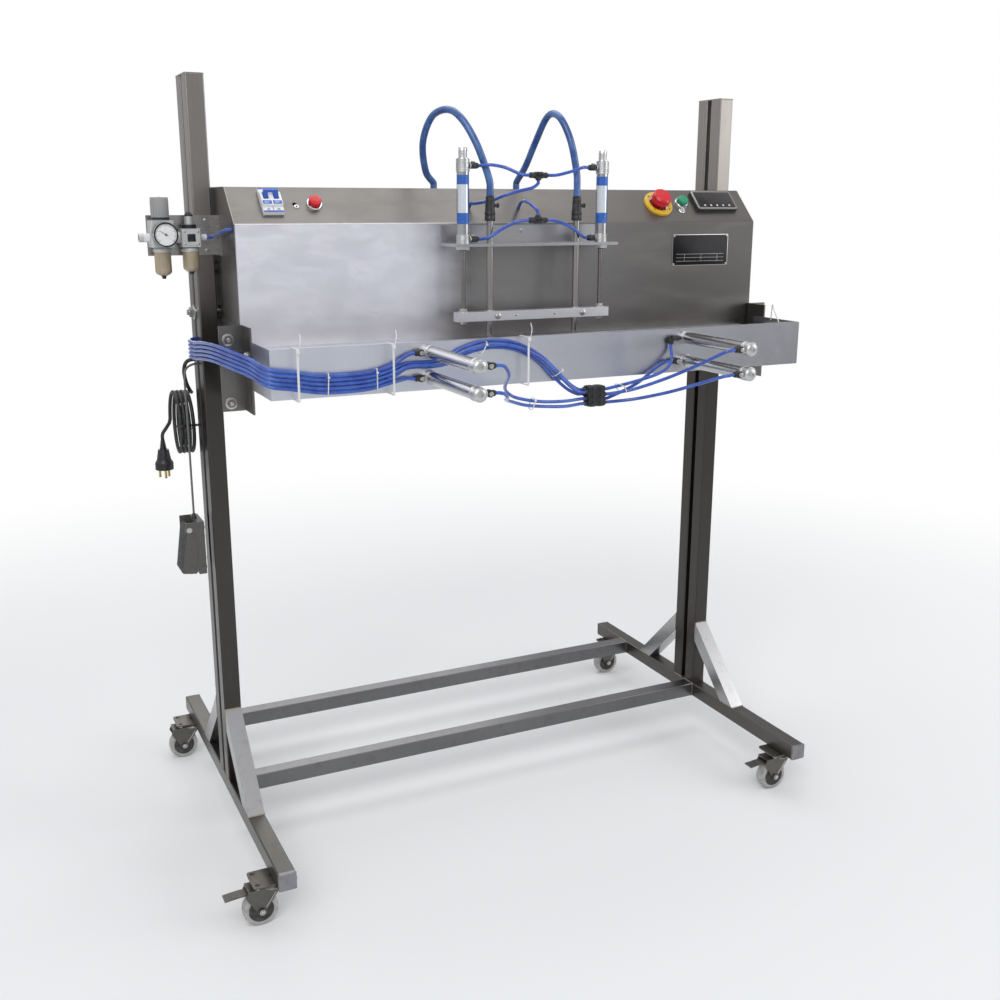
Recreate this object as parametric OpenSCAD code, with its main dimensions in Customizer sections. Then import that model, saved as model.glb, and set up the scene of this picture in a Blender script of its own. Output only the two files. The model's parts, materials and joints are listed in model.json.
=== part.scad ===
// Pneumatic jaw bag sealing machine on a wheeled stand, in millimetres.
// X runs along the jaws, Y from the operator's side to the back, Z up.

/* [Stand] */
// Side of each square tube of a post
post_tube = 33; // [30:0.5:36]
// Slot left open between the two tubes of a post
post_slot = 14; // [12:0.5:16]
// Wall of the post tubes
post_wall = 2; // [1.5:0.5:3]
// Height of the post tops above the floor
post_top = 1458; // [1440:1:1600]
// Thickness of the cap that closes a post
cap_t = 2; // [1.5:0.5:4]
// Side of the square tube used for feet, cross bars and braces
foot_tube = 32; // [30:0.5:35]
// Wall of that tube
foot_wall = 2; // [1.5:0.5:3]
// Length of each foot, front to back
foot_l = 818; // [780:1:900]
// Distance along the foot, and up the post, that a brace covers
brace_run = 155; // [130:1:180]
// Distance from the post centre to the front face of the rear cross bar
rear_bar_y = 260; // [240:1:300]

/* [Casters] */
// Diameter of the caster wheels
wheel_d = 63; // [58:0.5:64]
// Width of the caster tyres
tyre_w = 23; // [20:0.5:24]
// Height of the whole caster under the foot
caster_h = 87; // [86:0.5:95]
// How far the wheel trails behind the swivel
caster_trail = 24; // [20:0.5:26]
// Length of the caster's top plate
plate_l = 79; // [74:1:90]
// Width of the caster's top plate
plate_w = 56; // [50:1:60]
// Thickness of the caster's top plate
plate_t = 3; // [2.5:0.5:4]
// Distance from the post centre to each caster's swivel, front to back
caster_y = 352; // [330:1:365]
// Distance that the left casters stand outside their foot
caster_out = 14; // [8:1:18]
// Length of the brake pedal in front of the wheel
brake_l = 44; // [38:1:50]

/* [Head] */
// Running gap between the head and each post
head_gap = 5; // [4:0.5:6]
// Thickness of the head's steel sheet
sheet_t = 1.5; // [1:0.5:2]
// Distance from the post centre to the head's front face
head_front = 181; // [175:1:190]
// Distance from the post centre to the head's back
head_back = 27; // [24:1:40]
// Distance from the jaws' top down to the head's lower edge
head_drop = 52; // [50:1:54]
// Height of the crease, between the front face and the slope, above the jaws' top
crease_rise = 206; // [190:1:215]
// Depth, and rise, of the sloping control panel
slope_run = 62; // [60:1:70]

/* [Jaws] */
// Length of both sealing jaws
jaw_l = 1000; // [900:1:1100]
// Distance from each end of the jaws to the post beside it
jaw_end_room = 43; // [41:1:60]
// Height of the jaw beams
jaw_h = 45; // [40:1:46]
// Height of the jaws' top above the floor
jaw_top = 1000; // [996:0.5:1001]
// Gap between the jaws when they are open
jaw_open = 50; // [46:0.5:52]
// Depth of the fixed rear jaw in front of the head
rear_jaw_d = 41; // [38:1:44]
// Depth of the moving front jaw
front_jaw_d = 22; // [20:1:26]
// Height of the sealing face on both jaws
seal_h = 16; // [12:1:20]
// How far the sealing faces stand proud of their beams
seal_d = 5; // [4:0.5:6]
// Gap left between the closed jaws
jaw_clear = 0.3; // [0.2:0.1:0.5]

/* [Front beam] */
// Distance from the post centre to the beam's front face
beam_front = 350; // [345:1:360]
// Height of the front beam
beam_h = 82; // [80:1:90]
// Height of the front beam's top edge above the jaws' top
beam_rise = 16; // [14:1:20]
// Thickness of the front beam's plate
beam_t = 2; // [1.5:0.5:3]
// Width of the lip turned in along the beam's edges
beam_lip = 10; // [8:1:14]
// Length of the beam's end returns, front to back
beam_return = 141; // [135:1:145]
// Gap between each end of the beam and the line of the head's ends
beam_inset = 6; // [5:0.5:10]

/* [Cylinders] */
// Outer diameter of the air cylinders' tubes
cyl_d = 22; // [20:0.5:23]
// Diameter of the clamp and lift rods
rod_d = 8; // [7:0.5:9]
// Distance from the middle to each pair of clamp cylinders
clamp_x = 258; // [240:1:280]
// Height between a clamp pair's two cylinders
clamp_pitch = 43; // [40:0.5:44]
// Length of a clamp cylinder in front of the beam
clamp_l = 208; // [190:1:220]
// Distance from the middle to each lift cylinder
lift_x = 142; // [136:1:150]
// Length of a lift cylinder above its plate, without the top nut
lift_l = 145; // [140:1:150]
// Length of the bright nut on top of a lift cylinder
lift_nut_l = 19; // [15:1:22]

/* [Nozzles] */
// Distance from the post centre to the nozzles, front to back
nozzle_y = 232; // [228:1:236]
// Distance from the middle to each nozzle
nozzle_x = 89; // [84:1:94]
// Outer diameter of the nozzle tubes
nozzle_d = 12; // [10:0.5:13]
// Wall of the nozzle tubes
nozzle_wall = 1.5; // [1:0.5:2]
// Length of each nozzle tube
nozzle_l = 208; // [200:1:215]
// Gap between the nozzle tips, at rest, and the jaws' top
nozzle_tip_gap = 4; // [3:0.5:6]
// Height of the lift plate's underside above the jaws' top
lift_plate_rise = 167; // [160:1:175]
// Thickness of the lift plate
lift_plate_t = 5; // [4:0.5:6]
// Length of the lift plate
lift_plate_l = 332; // [326:1:350]
// Distance that the lift plate reaches in front of the nozzles
lift_plate_lead = 24; // [20:1:28]
// Length of the nozzle bar
nozzle_bar_l = 314; // [310:1:330]
// Depth of the nozzle bar
nozzle_bar_d = 21; // [19:0.5:24]
// Height of the nozzle bar
nozzle_bar_h = 17; // [15:0.5:18]
// Height of the nozzle bar's top at rest above the jaws' top
nozzle_bar_rise = 51; // [46:1:53]
// Outer diameter of the vacuum hoses
hose_d = 13; // [12:0.5:14]
// Wall of the vacuum hoses
hose_wall = 2; // [1.5:0.5:2.5]

/* [Control panel] */
// Distance from the head's left end to the circuit breaker's middle
breaker_inset = 73; // [58:1:98]
// Width of the two-pole circuit breaker
breaker_w = 36; // [34:0.5:38]
// Length of the breaker's face up the slope
breaker_l = 56; // [52:1:60]
// How far the breaker's face stands out of the slope
breaker_out = 12; // [10:0.5:16]
// Distance from the head's left end to the red lamp button
lamp_inset = 150; // [138:1:163]
// Distance from the head's right end to the emergency stop
estop_inset = 215; // [208:1:223]
// Diameter of the emergency stop's yellow collar
estop_collar_d = 60; // [56:1:62]
// Diameter of the emergency stop's red head
estop_head_d = 38; // [34:1:40]
// Travel of the emergency stop
estop_travel = 6; // [4:0.5:7]
// Distance from the head's right end to the green start button
start_inset = 157; // [152:1:162]
// Diameter of the start button's bezel
start_bezel_d = 29; // [27:0.5:30]
// Diameter of the start button's cap
start_cap_d = 22; // [20:0.5:23]
// Travel of the start button
start_travel = 3; // [2:0.5:4]
// Distance from the head's right end to the small toggle switch
toggle_inset = 164; // [160:1:170]
// Distance from the head's right end to the temperature controller's middle
controller_inset = 80; // [72:1:86]
// Width of the controller's bezel
controller_w = 96; // [92:1:98]
// Height of the controller's bezel along the slope
controller_h = 48; // [46:0.5:50]

/* [Air unit] */
// Length of the plate that carries the air unit
air_plate_l = 117; // [112:1:130]
// Height of that plate
air_plate_h = 69; // [64:1:76]
// Height of the plate's middle above the jaws' top
air_plate_rise = 186; // [180:1:190]
// Thickness of the plate
air_plate_t = 3; // [2.5:0.5:4]
// Width and depth of the regulator's body
regulator_w = 40; // [36:1:42]
// Height of the regulator's body
regulator_h = 45; // [40:1:48]
// Diameter of the regulator's knob
knob_d = 30; // [27:1:34]
// Height of the regulator's knob
knob_h = 38; // [34:1:44]
// Diameter of the pressure gauge
gauge_d = 41; // [38:0.5:43]
// Depth of the pressure gauge
gauge_t = 22; // [18:1:24]
// Width of the oiler's body
oiler_w = 34; // [30:1:36]
// Diameter of the clear bowls
bowl_d = 29; // [26:1:30]
// Outer diameter of the supply tube that the inlet takes
inlet_d = 8; // [6:0.5:8]
// Depth of the inlet
inlet_l = 14; // [12:1:16]

/* [Tubes and leads] */
// Outer diameter of the air tubes
tube_d = 6; // [5:0.5:6]
// Diameter of the mains lead
mains_d = 7; // [6:0.5:7]
// Loops in the mains lead's hank
mains_loops = 4; // [3:1:5]
// Diameter of the foot switch's lead
pedal_lead_d = 4; // [4:0.5:5]
// Width of the foot switch
pedal_w = 64; // [58:1:68]
// Length of the foot switch
pedal_l = 102; // [96:1:108]
// Height of the foot switch's base
pedal_base_h = 24; // [20:1:28]
// Angle that the foot switch's treadle travels
pedal_angle = 8; // [5:1:9]

/* [Hidden] */

$fn = 32;
// Facets of a shape that a joint, pin or mount depends on
fine = 48;
// Overrun of every cut
over = 1;
// Gap between pieces that slide on each other
slide_fit = 0.3;
// Radial gap of a pin in its hole
pin_fit = 0.05;
// Radial gap of a screw or a tube in a plain hole
hole_fit = 0.4;

// Stand: places
post_gap = jaw_l + 2 * jaw_end_room;
post_x = post_gap / 2;
post_mid_x = post_x + post_tube / 2;
post_d = 2 * post_tube + post_slot;
post_front = post_d / 2;
foot_x = post_mid_x;
foot_z0 = caster_h;
foot_z1 = foot_z0 + foot_tube;
bar_l = 2 * foot_x - foot_tube;
foot_plug_t = 2;
brace_h = foot_tube * sqrt(2);

// Casters: places
axle_r = 4;
axle_head_r = 6.5;
axle_head_t = 3;
wheel_r = wheel_d / 2;
hub_r = wheel_r - 7;
hub_w = tyre_w + 1;
race_r = plate_w / 2 - 5;
race_t = 9;
race_gap = 0.5;
fork_t = 2.5;
fork_inner = hub_w / 2 + 1.5;
fork_crown_t = 4;
fork_crown_z = caster_h - plate_t - race_t - fork_crown_t;
kingpin_r = 6;
brake_pin_r = 2.5;
brake_pin_x = caster_trail + 19;
brake_pin_z = wheel_r + 32;
brake_w = 22;
brake_t = 2.5;
swivel_fl = [-foot_x - caster_out, -caster_y];
swivel_rl = [-foot_x - caster_out, caster_y];
swivel_fr = [foot_x, -caster_y];
swivel_rr = [foot_x, caster_y];
SWIVELS = [swivel_fl, swivel_fr, swivel_rl, swivel_rr];
plate_bolt_x = plate_l / 2 - 9;
plate_bolt_y = plate_w / 2 - 9;
plate_bolt_r = 4;

// Head: places
head_x = post_x - head_gap;
head_bottom = jaw_top - head_drop;
crease_z = jaw_top + crease_rise;
slope_l = slope_run * sqrt(2);
slope_top_y = head_front - slope_run;
head_top = crease_z + slope_run;
head_h = head_top - head_bottom;
shell_x = head_x - sheet_t;
breaker_x = head_x - breaker_inset;
lamp_x = head_x - lamp_inset;
estop_x = head_x - estop_inset;
start_x = head_x - start_inset;
toggle_x = head_x - toggle_inset;
controller_x = head_x - controller_inset;
lift_plate_z = jaw_top + lift_plate_rise;
air_plate_z = jaw_top + air_plate_rise;

// Jaws: places
rear_jaw_face = head_front + rear_jaw_d;
front_jaw_face = rear_jaw_face + jaw_open;
jaw_travel = jaw_open - jaw_clear;
front_jaw_back = front_jaw_face + front_jaw_d;
jaw_mid_z = jaw_top - jaw_h / 2;

// Beam: places
beam_x = head_x - beam_inset;
beam_top = jaw_top + beam_rise;
beam_bottom = beam_top - beam_h;
beam_back = beam_front - beam_return;
bracket_w = 40;
bracket_rise = 24;
bracket_drop = 41;
bracket_top = beam_top + bracket_rise;
bracket_bottom = beam_bottom - bracket_drop;
bracket_lap = 30;
bracket_bolt_down = 24;
bracket_bolt_up = 14;
bracket_t = 3;
bracket_y = head_front + 2;

// Cylinders: places
cyl_r = cyl_d / 2;
rod_r = rod_d / 2;
clamp_z1 = jaw_mid_z + clamp_pitch / 2;
clamp_z0 = jaw_mid_z - clamp_pitch / 2;
CLAMP_PLACES = [[-clamp_x, clamp_z1], [-clamp_x, clamp_z0], [clamp_x, clamp_z1], [clamp_x, clamp_z0]];
cap_l = 22;
nose_l = 15;
nose_nut_r = 14;
nose_nut_t = 6;
piston_t = 8;
bore_wall = 1.5;
lift_y = nozzle_y;
lift_top = lift_plate_z + lift_plate_t;
port_r = 3;
port_l = 5;

// Nozzles: places
nozzle_r = nozzle_d / 2;
nozzle_tip = jaw_top + nozzle_tip_gap;
nozzle_top = nozzle_tip + nozzle_l;
nozzle_bar_top = jaw_top + nozzle_bar_rise;
nozzle_stroke = lift_l - nose_l - cap_l - piston_t - 2;
elbow_l = 40;
elbow_r = nozzle_r + 3;
hose_r = hose_d / 2;

// Panel: places along the slope, from the crease
breaker_s = 50;
button_s = 47;
start_s = 51;
toggle_s = 31;
controller_s = 52;
hole_22 = 11.1;

// Air unit: places
plate_x1 = head_x + air_plate_t;
plate_x0 = plate_x1 + air_plate_l;
plate_y = post_front + slide_fit;
unit_y = plate_y + air_plate_t + regulator_w / 2;
regulator_x = plate_x0 - regulator_w / 2 - 1;
regulator_z0 = air_plate_z - 19;
oiler_x = regulator_x - regulator_w / 2 - 11 - oiler_w / 2;
oiler_h = 31;
inlet_z = air_plate_z - 3;
inlet_boss_r = inlet_d / 2 + 3.5;
gauge_z = air_plate_z + 3;
gauge_y = unit_y + regulator_w / 2 + 6;

// The row's origin: the middle of the object's floor area
right_end = foot_x + plate_l / 2;
left_end = regulator_x + regulator_w / 2 + inlet_l + 4;
front_end = beam_front + clamp_l;
rear_end = foot_l / 2;
mid_x = (right_end - left_end) / 2;
mid_y = (rear_end - front_end) / 2;

steel = [0.62, 0.62, 0.60];
bright = [0.80, 0.81, 0.82];
dark = [0.33, 0.32, 0.30];
black = [0.08, 0.08, 0.08];
blue = [0.10, 0.25, 0.75];
grey = [0.55, 0.55, 0.54];
white = [0.9, 0.9, 0.9];

// A piece of the machine, moved into the row's frame and coloured
module made(c) translate([-mid_x, -mid_y, 0]) color(c) children();

// Outline of a tube or plate with round corners
module round_rect(w, h, r) {
    square([w - 2 * r, h], center = true);
    square([w, h - 2 * r], center = true);
    for (x = [-1, 1], y = [-1, 1])
        translate([x * (w / 2 - r), y * (h / 2 - r)]) circle(r = r);
}

// Hollow square tube along Z
corner_share = 0.08;
module square_tube(l, side, wall) linear_extrude(l) difference() {
    round_rect(side, side, side * corner_share);
    square(side - 2 * wall, center = true);
}

// A profile drawn in Y and Z, extruded along X from x0 to x1
module along_x(x0, x1) translate([x0, 0, 0]) rotate([90, 0, 90]) linear_extrude(x1 - x0) children();

// A profile drawn in X and Z, extruded along Y from y0 to y1
module along_y(y0, y1) translate([0, y1, 0]) rotate([90, 0, 0]) linear_extrude(y1 - y0) children();

// Pin, hole or rod along Y from y0 to y1
module rod_y(x, y0, y1, z, r) translate([x, y0, z]) rotate([-90, 0, 0])
    cylinder(r = r, h = y1 - y0, $fn = fine);

// The same along X
module rod_x(x0, x1, y, z, r) translate([x0, y, z]) rotate([0, 90, 0])
    cylinder(r = r, h = x1 - x0, $fn = fine);

// Hexagon nut or bolt head along Z, across corners 2r
module hex(r, h) cylinder(r = r, h = h, $fn = 6);

// Left and right copies
module both_sides() {
    children();
    mirror([1, 0, 0]) children();
}

// Stand
module foot_at(x) {
    translate([x, -foot_l / 2 + foot_plug_t, foot_z0 + foot_tube / 2])
        rotate([-90, 0, 0]) square_tube(foot_l - 2 * foot_plug_t, foot_tube, foot_wall);
    for (y = [-foot_l / 2, foot_l / 2 - foot_plug_t])
        along_y(y, y + foot_plug_t) translate([x, foot_z0 + foot_tube / 2])
            round_rect(foot_tube, foot_tube, foot_tube * corner_share);
}
module left_foot() made(dark) foot_at(-foot_x);
module right_foot() made(dark) foot_at(foot_x);

module cross_bar(y) translate([-bar_l / 2, y, foot_z0 + foot_tube / 2])
    rotate([0, 90, 0]) square_tube(bar_l, foot_tube, foot_wall);
module front_cross_bar() made(steel) cross_bar(-post_front + foot_tube / 2);
module rear_cross_bar() made(steel) cross_bar(rear_bar_y + foot_tube / 2);

module post_at(x) {
    for (y = [-1, 1]) translate([x, y * (post_front - post_tube / 2), foot_z1])
        square_tube(post_top - cap_t - foot_z1, post_tube, post_wall);
    translate([x, 0, post_top - cap_t]) linear_extrude(cap_t)
        round_rect(post_tube, post_d, post_tube * corner_share);
}
module left_post() made(steel) post_at(-post_mid_x);
module right_post() made(steel) post_at(post_mid_x);

// Section of a brace, from the post's face at y = 0 down to the foot's top
module brace_section(inset) polygon([
    [0, foot_z1 + brace_run - inset * sqrt(2)],
    [brace_run - inset * sqrt(2), foot_z1],
    [brace_run - brace_h + inset * sqrt(2), foot_z1],
    [0, foot_z1 + brace_run - brace_h + inset * sqrt(2)]
]);
module brace() difference() {
    along_x(-foot_tube / 2, foot_tube / 2) brace_section(0);
    along_x(-foot_tube / 2 + foot_wall, foot_tube / 2 - foot_wall) brace_section(foot_wall);
}
module braces() made(bright) for (x = [-foot_x, foot_x], a = [0, 180])
    translate([x, 0, 0]) rotate([0, 0, a]) translate([0, post_front, 0]) brace();

// Casters
module caster_plate() difference() {
    union() {
        translate([0, 0, caster_h - plate_t]) linear_extrude(plate_t) difference() {
            round_rect(plate_l, plate_w, plate_t * 2);
            for (x = [-1, 1], y = [-1, 1])
                translate([x * plate_bolt_x, y * plate_bolt_y]) circle(r = plate_bolt_r);
        }
        translate([0, 0, caster_h - plate_t - race_t / 2])
            cylinder(r1 = race_r - race_t / 3, r2 = race_r, h = race_t / 2, $fn = fine);
    }
    translate([0, 0, caster_h - plate_t - race_t]) cylinder(r = kingpin_r + pin_fit, h = race_t +
        plate_t + over, $fn = fine);
}
module caster_plates() made(grey) for (s = SWIVELS) translate([s[0], s[1], 0]) caster_plate();

module fork_leg_section() {
    polygon([
        [race_r / 2, fork_crown_z], [-brake_pin_x - axle_r, fork_crown_z],
        [-brake_pin_x - axle_r * 2, brake_pin_z], [-brake_pin_x - axle_r, brake_pin_z - axle_r * 2],
        [-caster_trail - axle_r * 2, wheel_r], [-caster_trail + axle_r * 2, wheel_r]
    ]);
    translate([-caster_trail, wheel_r]) circle(r = axle_r * 2);
}
module fork() {
    translate([0, 0, fork_crown_z]) linear_extrude(fork_crown_t) {
        circle(r = race_r - race_t / 3);
        translate([-brake_pin_x - axle_r, -fork_inner - fork_t])
            square([brake_pin_x + axle_r, 2 * (fork_inner + fork_t)]);
    }
    translate([0, 0, fork_crown_z + fork_crown_t - over / 2])
        cylinder(r1 = race_r, r2 = race_r - race_t / 3, h = race_t / 2 - race_gap + over / 2, $fn = fine);
    translate([0, 0, fork_crown_z]) cylinder(r = kingpin_r, h = caster_h - fork_crown_z - over, $fn = fine);
    for (y = [-fork_inner - fork_t, fork_inner]) along_y(y, y + fork_t) fork_leg_section();
    rod_y(-caster_trail, -fork_inner - fork_t, fork_inner + fork_t, wheel_r, axle_r);
    for (a = [0, 180]) translate([-caster_trail, 0, wheel_r]) rotate([0, 0, a])
        translate([0, fork_inner + fork_t, 0]) rotate([-90, 0, 0]) hex(axle_head_r, axle_head_t);
    rod_y(-brake_pin_x, -fork_inner - fork_t, fork_inner + fork_t, brake_pin_z, brake_pin_r);
}
module fork_at(s) made(dark) translate([s[0], s[1], 0]) fork();
module fork_front_left() fork_at(swivel_fl);
module fork_front_right() fork_at(swivel_fr);
module fork_rear_left() fork_at(swivel_rl);
module fork_rear_right() fork_at(swivel_rr);

// Half section of the tyre and of the hub, radius against width
tyre_edge = 4;
hub_web = 6;
module tyre_section() polygon([
    [hub_r + pin_fit, -tyre_w / 2], [wheel_r - tyre_edge, -tyre_w / 2],
        [wheel_r - tyre_edge / 3, -tyre_w / 2 + tyre_edge / 3],
    [wheel_r, -tyre_w / 2 + tyre_edge * 1.5], [wheel_r, tyre_w / 2 - tyre_edge * 1.5],
    [wheel_r - tyre_edge / 3, tyre_w / 2 - tyre_edge / 3], [wheel_r - tyre_edge, tyre_w / 2],
        [hub_r + pin_fit, tyre_w / 2]
]);
module hub_section() {
    translate([axle_r + pin_fit, -hub_web / 2]) square([hub_r - axle_r - pin_fit, hub_web]);
    translate([hub_r - tyre_edge, -tyre_w / 2]) square([tyre_edge, tyre_w]);
    translate([axle_r + pin_fit, -hub_w / 2]) square([axle_r, hub_w]);
}
module wheel_at(s) made(grey) translate([s[0] - caster_trail, s[1], wheel_r]) rotate([90, 0, 0]) {
    rotate_extrude($fn = fine) tyre_section();
    rotate_extrude($fn = fine) hub_section();
}
module wheel_front_left() wheel_at(swivel_fl);
module wheel_front_right() wheel_at(swivel_fr);
module wheel_rear_left() wheel_at(swivel_rl);
module wheel_rear_right() wheel_at(swivel_rr);

// Brake tongue over the wheel, on its pin in the fork
brake_boss_r = brake_pin_r + 2;
module brake_at(s) made(grey) translate([s[0] - brake_pin_x, s[1], brake_pin_z]) difference() {
    union() {
        rod_y(0, -brake_w / 2, brake_w / 2, 0, brake_boss_r);
        along_y(-brake_w / 2, brake_w / 2) polygon([
            [0, brake_boss_r], [-brake_l / 3, brake_boss_r], [-brake_l, brake_boss_r - brake_t],
            [-brake_l, brake_boss_r - 2 * brake_t], [-brake_l / 3, brake_boss_r - brake_t],
                [0, brake_boss_r - brake_t]
        ]);
    }
    rod_y(0, -brake_w / 2 - over, brake_w / 2 + over, 0, brake_pin_r + pin_fit);
}
module brake_left() brake_at(swivel_fl);
module brake_right() brake_at(swivel_fr);

// Place on the sloping panel: x along the machine, s up the slope, Z out of its face
module on_slope(x, s) translate([x, -head_front, crease_z]) rotate([45, 0, 0]) translate([0, s, 0])
    children();
module panel_hole(x, s, r) on_slope(x, s) translate([0, 0, -sheet_t * 3])
    cylinder(r = r, h = sheet_t * 6, $fn = fine);
module panel_window(x, s, w, l) on_slope(x, s) translate([-w / 2, -l / 2, -sheet_t * 3])
    cube([w, l, sheet_t * 6]);

// Side profile of the head, and the sheet bent along it
fold = sheet_t * tan(22.5);
module head_profile() polygon([
    [-head_front, head_bottom], [-head_front, crease_z], [-slope_top_y, head_top],
    [head_back, head_top], [head_back, head_bottom]
]);
module bent_sheet() polygon([
    [-head_front, head_bottom], [-head_front, crease_z], [-slope_top_y, head_top], [head_back, head_top],
    [head_back, head_top - sheet_t], [-slope_top_y + fold, head_top - sheet_t],
    [-head_front + sheet_t, crease_z - fold], [-head_front + sheet_t, head_bottom]
]);

breaker_window = [breaker_w - 2, breaker_l - 8];
controller_window = [controller_w - 5, controller_h - 4];
lamp_hole_gap = 35;
lamp_hole_x = lamp_x + lamp_hole_gap;
small_hole_r = 4;
toggle_thread_r = 3;
lift_ports = [[8, 40], [-92, 44]];
hose_hole_y = 50;
hose_end_x = [-122, 54];
module head_shell() made(steel) difference() {
    along_x(-shell_x, shell_x) bent_sheet();
    panel_window(-breaker_x, breaker_s, breaker_window[0], breaker_window[1]);
    panel_window(controller_x, controller_s, controller_window[0], controller_window[1]);
    panel_hole(-lamp_x, button_s, hole_22);
    panel_hole(-lamp_hole_x, button_s, small_hole_r);
    panel_hole(estop_x, button_s, hole_22);
    panel_hole(start_x, start_s, hole_22);
    panel_hole(toggle_x, toggle_s, toggle_thread_r + hole_fit);
    for (p = lift_ports) panel_hole(p[0], p[1], tube_d / 2 + hole_fit);
    for (x = hose_end_x) translate([x, -hose_hole_y, head_top - sheet_t * 2])
        cylinder(r = hose_r + hole_fit, h = sheet_t * 4, $fn = fine);
}

// End plates, with the holes that the height bolts, the tubes and the leads pass
bolt_r = 5;
bolt_zs = [1048, 1130];
tube_pitch = tube_d + 1;
tube_exit_drop = 14;
lead_exit_drop = 38;
pedal_exit_drop = 47;
tube_exit_z = jaw_top - tube_exit_drop;
lead_exit_z = jaw_top - lead_exit_drop;
pedal_exit_z = jaw_top - pedal_exit_drop;
exit_w = post_slot - 1;
exit_top = tube_exit_z + 2 * tube_pitch + tube_d;
exit_bottom = tube_exit_z - 2 * tube_pitch - tube_d / 2 - hole_fit;
supply_in = [-165, 1198];
module end_plate() difference() {
    along_x(head_x - sheet_t, head_x) head_profile();
    for (z = bolt_zs) rod_x(head_x - sheet_t - over, head_x + over, 0, z, bolt_r + hole_fit);
}
module end_plates() made(steel) {
    end_plate();
    difference() {
        mirror([1, 0, 0]) end_plate();
        translate([-head_x - over, -exit_w / 2, exit_bottom])
            cube([sheet_t + 2 * over, exit_w, exit_top - exit_bottom]);
        rod_x(-head_x - over, -head_x + sheet_t + over, 0, lead_exit_z, mains_d / 2 + slide_fit);
        rod_x(-head_x - over, -head_x + sheet_t + over, 0, pedal_exit_z, pedal_lead_d / 2 + slide_fit);
        rod_x(-head_x - over, -head_x + sheet_t + over, supply_in[0], supply_in[1], tube_d / 2 + hole_fit);
    }
}

// Back and bottom of the head in one folded cover, with louvres
louvre_w = 60;
louvre_h = 4;
louvre_pitch = 14;
louvre_x = 340;
module rear_cover() made(steel) difference() {
    along_x(-shell_x + slide_fit, shell_x - slide_fit) polygon([
        [head_back, head_top - sheet_t - slide_fit], [head_back - sheet_t, head_top - sheet_t - slide_fit],
        [head_back - sheet_t, head_bottom + sheet_t], [-head_front + sheet_t + slide_fit, head_bottom +
            sheet_t],
        [-head_front + sheet_t + slide_fit, head_bottom], [head_back, head_bottom]
    ]);
    for (x = [-louvre_x, louvre_x], i = [-3:3])
        translate([x - louvre_w / 2, head_back - sheet_t - over, head_bottom + head_h / 2 + i *
            louvre_pitch])
            cube([louvre_w, sheet_t + 2 * over, louvre_h]);
}

// Bolts that clamp the head through the slots of the posts
washer_r = 14;
washer_t = 2;
nut_t = 8;
bolt_end = 4;
nut_r = 9;
module height_bolt(z) translate([0, 0, z]) {
    rod_x(head_x - sheet_t - nut_t, post_x + post_tube + washer_t + nut_t + bolt_end, 0, 0, bolt_r);
    translate([head_x - sheet_t - nut_t, 0, 0]) rotate([0, 90, 0]) hex(nut_r, nut_t);
    translate([post_x + post_tube + slide_fit, 0, 0]) rotate([0, 90, 0]) {
        cylinder(r = washer_r, h = washer_t, $fn = fine);
        translate([0, 0, washer_t]) hex(nut_r, nut_t);
    }
    rod_x(head_x, post_x - slide_fit, 0, 0, washer_r);
}
module height_bolts() made(bright) both_sides() for (z = bolt_zs) height_bolt(z);

// Front beam: a folded plate with end returns
clamp_hole_r = 8;
module front_beam() made(steel) difference() {
    union() {
        along_x(-beam_x, beam_x) {
            translate([-beam_front, beam_bottom]) square([beam_t, beam_h]);
            for (z = [beam_bottom, beam_top - beam_t]) translate([-beam_front, z])
                square([beam_lip, beam_t]);
        }
        both_sides() translate([beam_x - beam_t, -beam_front, beam_bottom])
            cube([beam_t, beam_return, beam_h]);
    }
    for (p = CLAMP_PLACES) rod_y(p[0], -beam_front - over, -beam_front + beam_t + over, p[1], clamp_hole_r);
}

// Brackets that carry the beam on the head's ends, with their bolts
bracket_x0 = beam_x;
bracket_leg = 120;
bracket_bolt_r = 6.5;
bracket_bolt_t = 4;
bracket_bolt_x = head_x + bracket_w / 2 + 2;
module bracket() {
    difference() {
        translate([0, 0, bracket_bottom]) linear_extrude(bracket_top - bracket_bottom) {
            translate([bracket_x0, -beam_back - bracket_lap])
                square([bracket_t, beam_back + bracket_lap - bracket_y]);
            translate([bracket_x0, -bracket_y - bracket_t]) square([bracket_w + bracket_t, bracket_t]);
            translate([head_x, -bracket_y - bracket_t]) square([bracket_t, bracket_leg]);
        }
        for (z = [bracket_top - bracket_bolt_down, bracket_bottom + bracket_bolt_up])
            rod_y(bracket_bolt_x, -bracket_y - bracket_t - over, -bracket_y + over, z, bolt_r);
    }
    for (z = [bracket_top - bracket_bolt_down, bracket_bottom + bracket_bolt_up]) {
        rod_y(bracket_bolt_x, -bracket_y - bracket_t, -bracket_y + bracket_bolt_t, z, bolt_r - pin_fit);
        translate([bracket_bolt_x, -bracket_y - bracket_t, z]) rotate([90, 0, 0])
            hex(bracket_bolt_r + 1, bracket_bolt_t);
    }
}
module beam_brackets() made(steel) both_sides() bracket();

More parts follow.
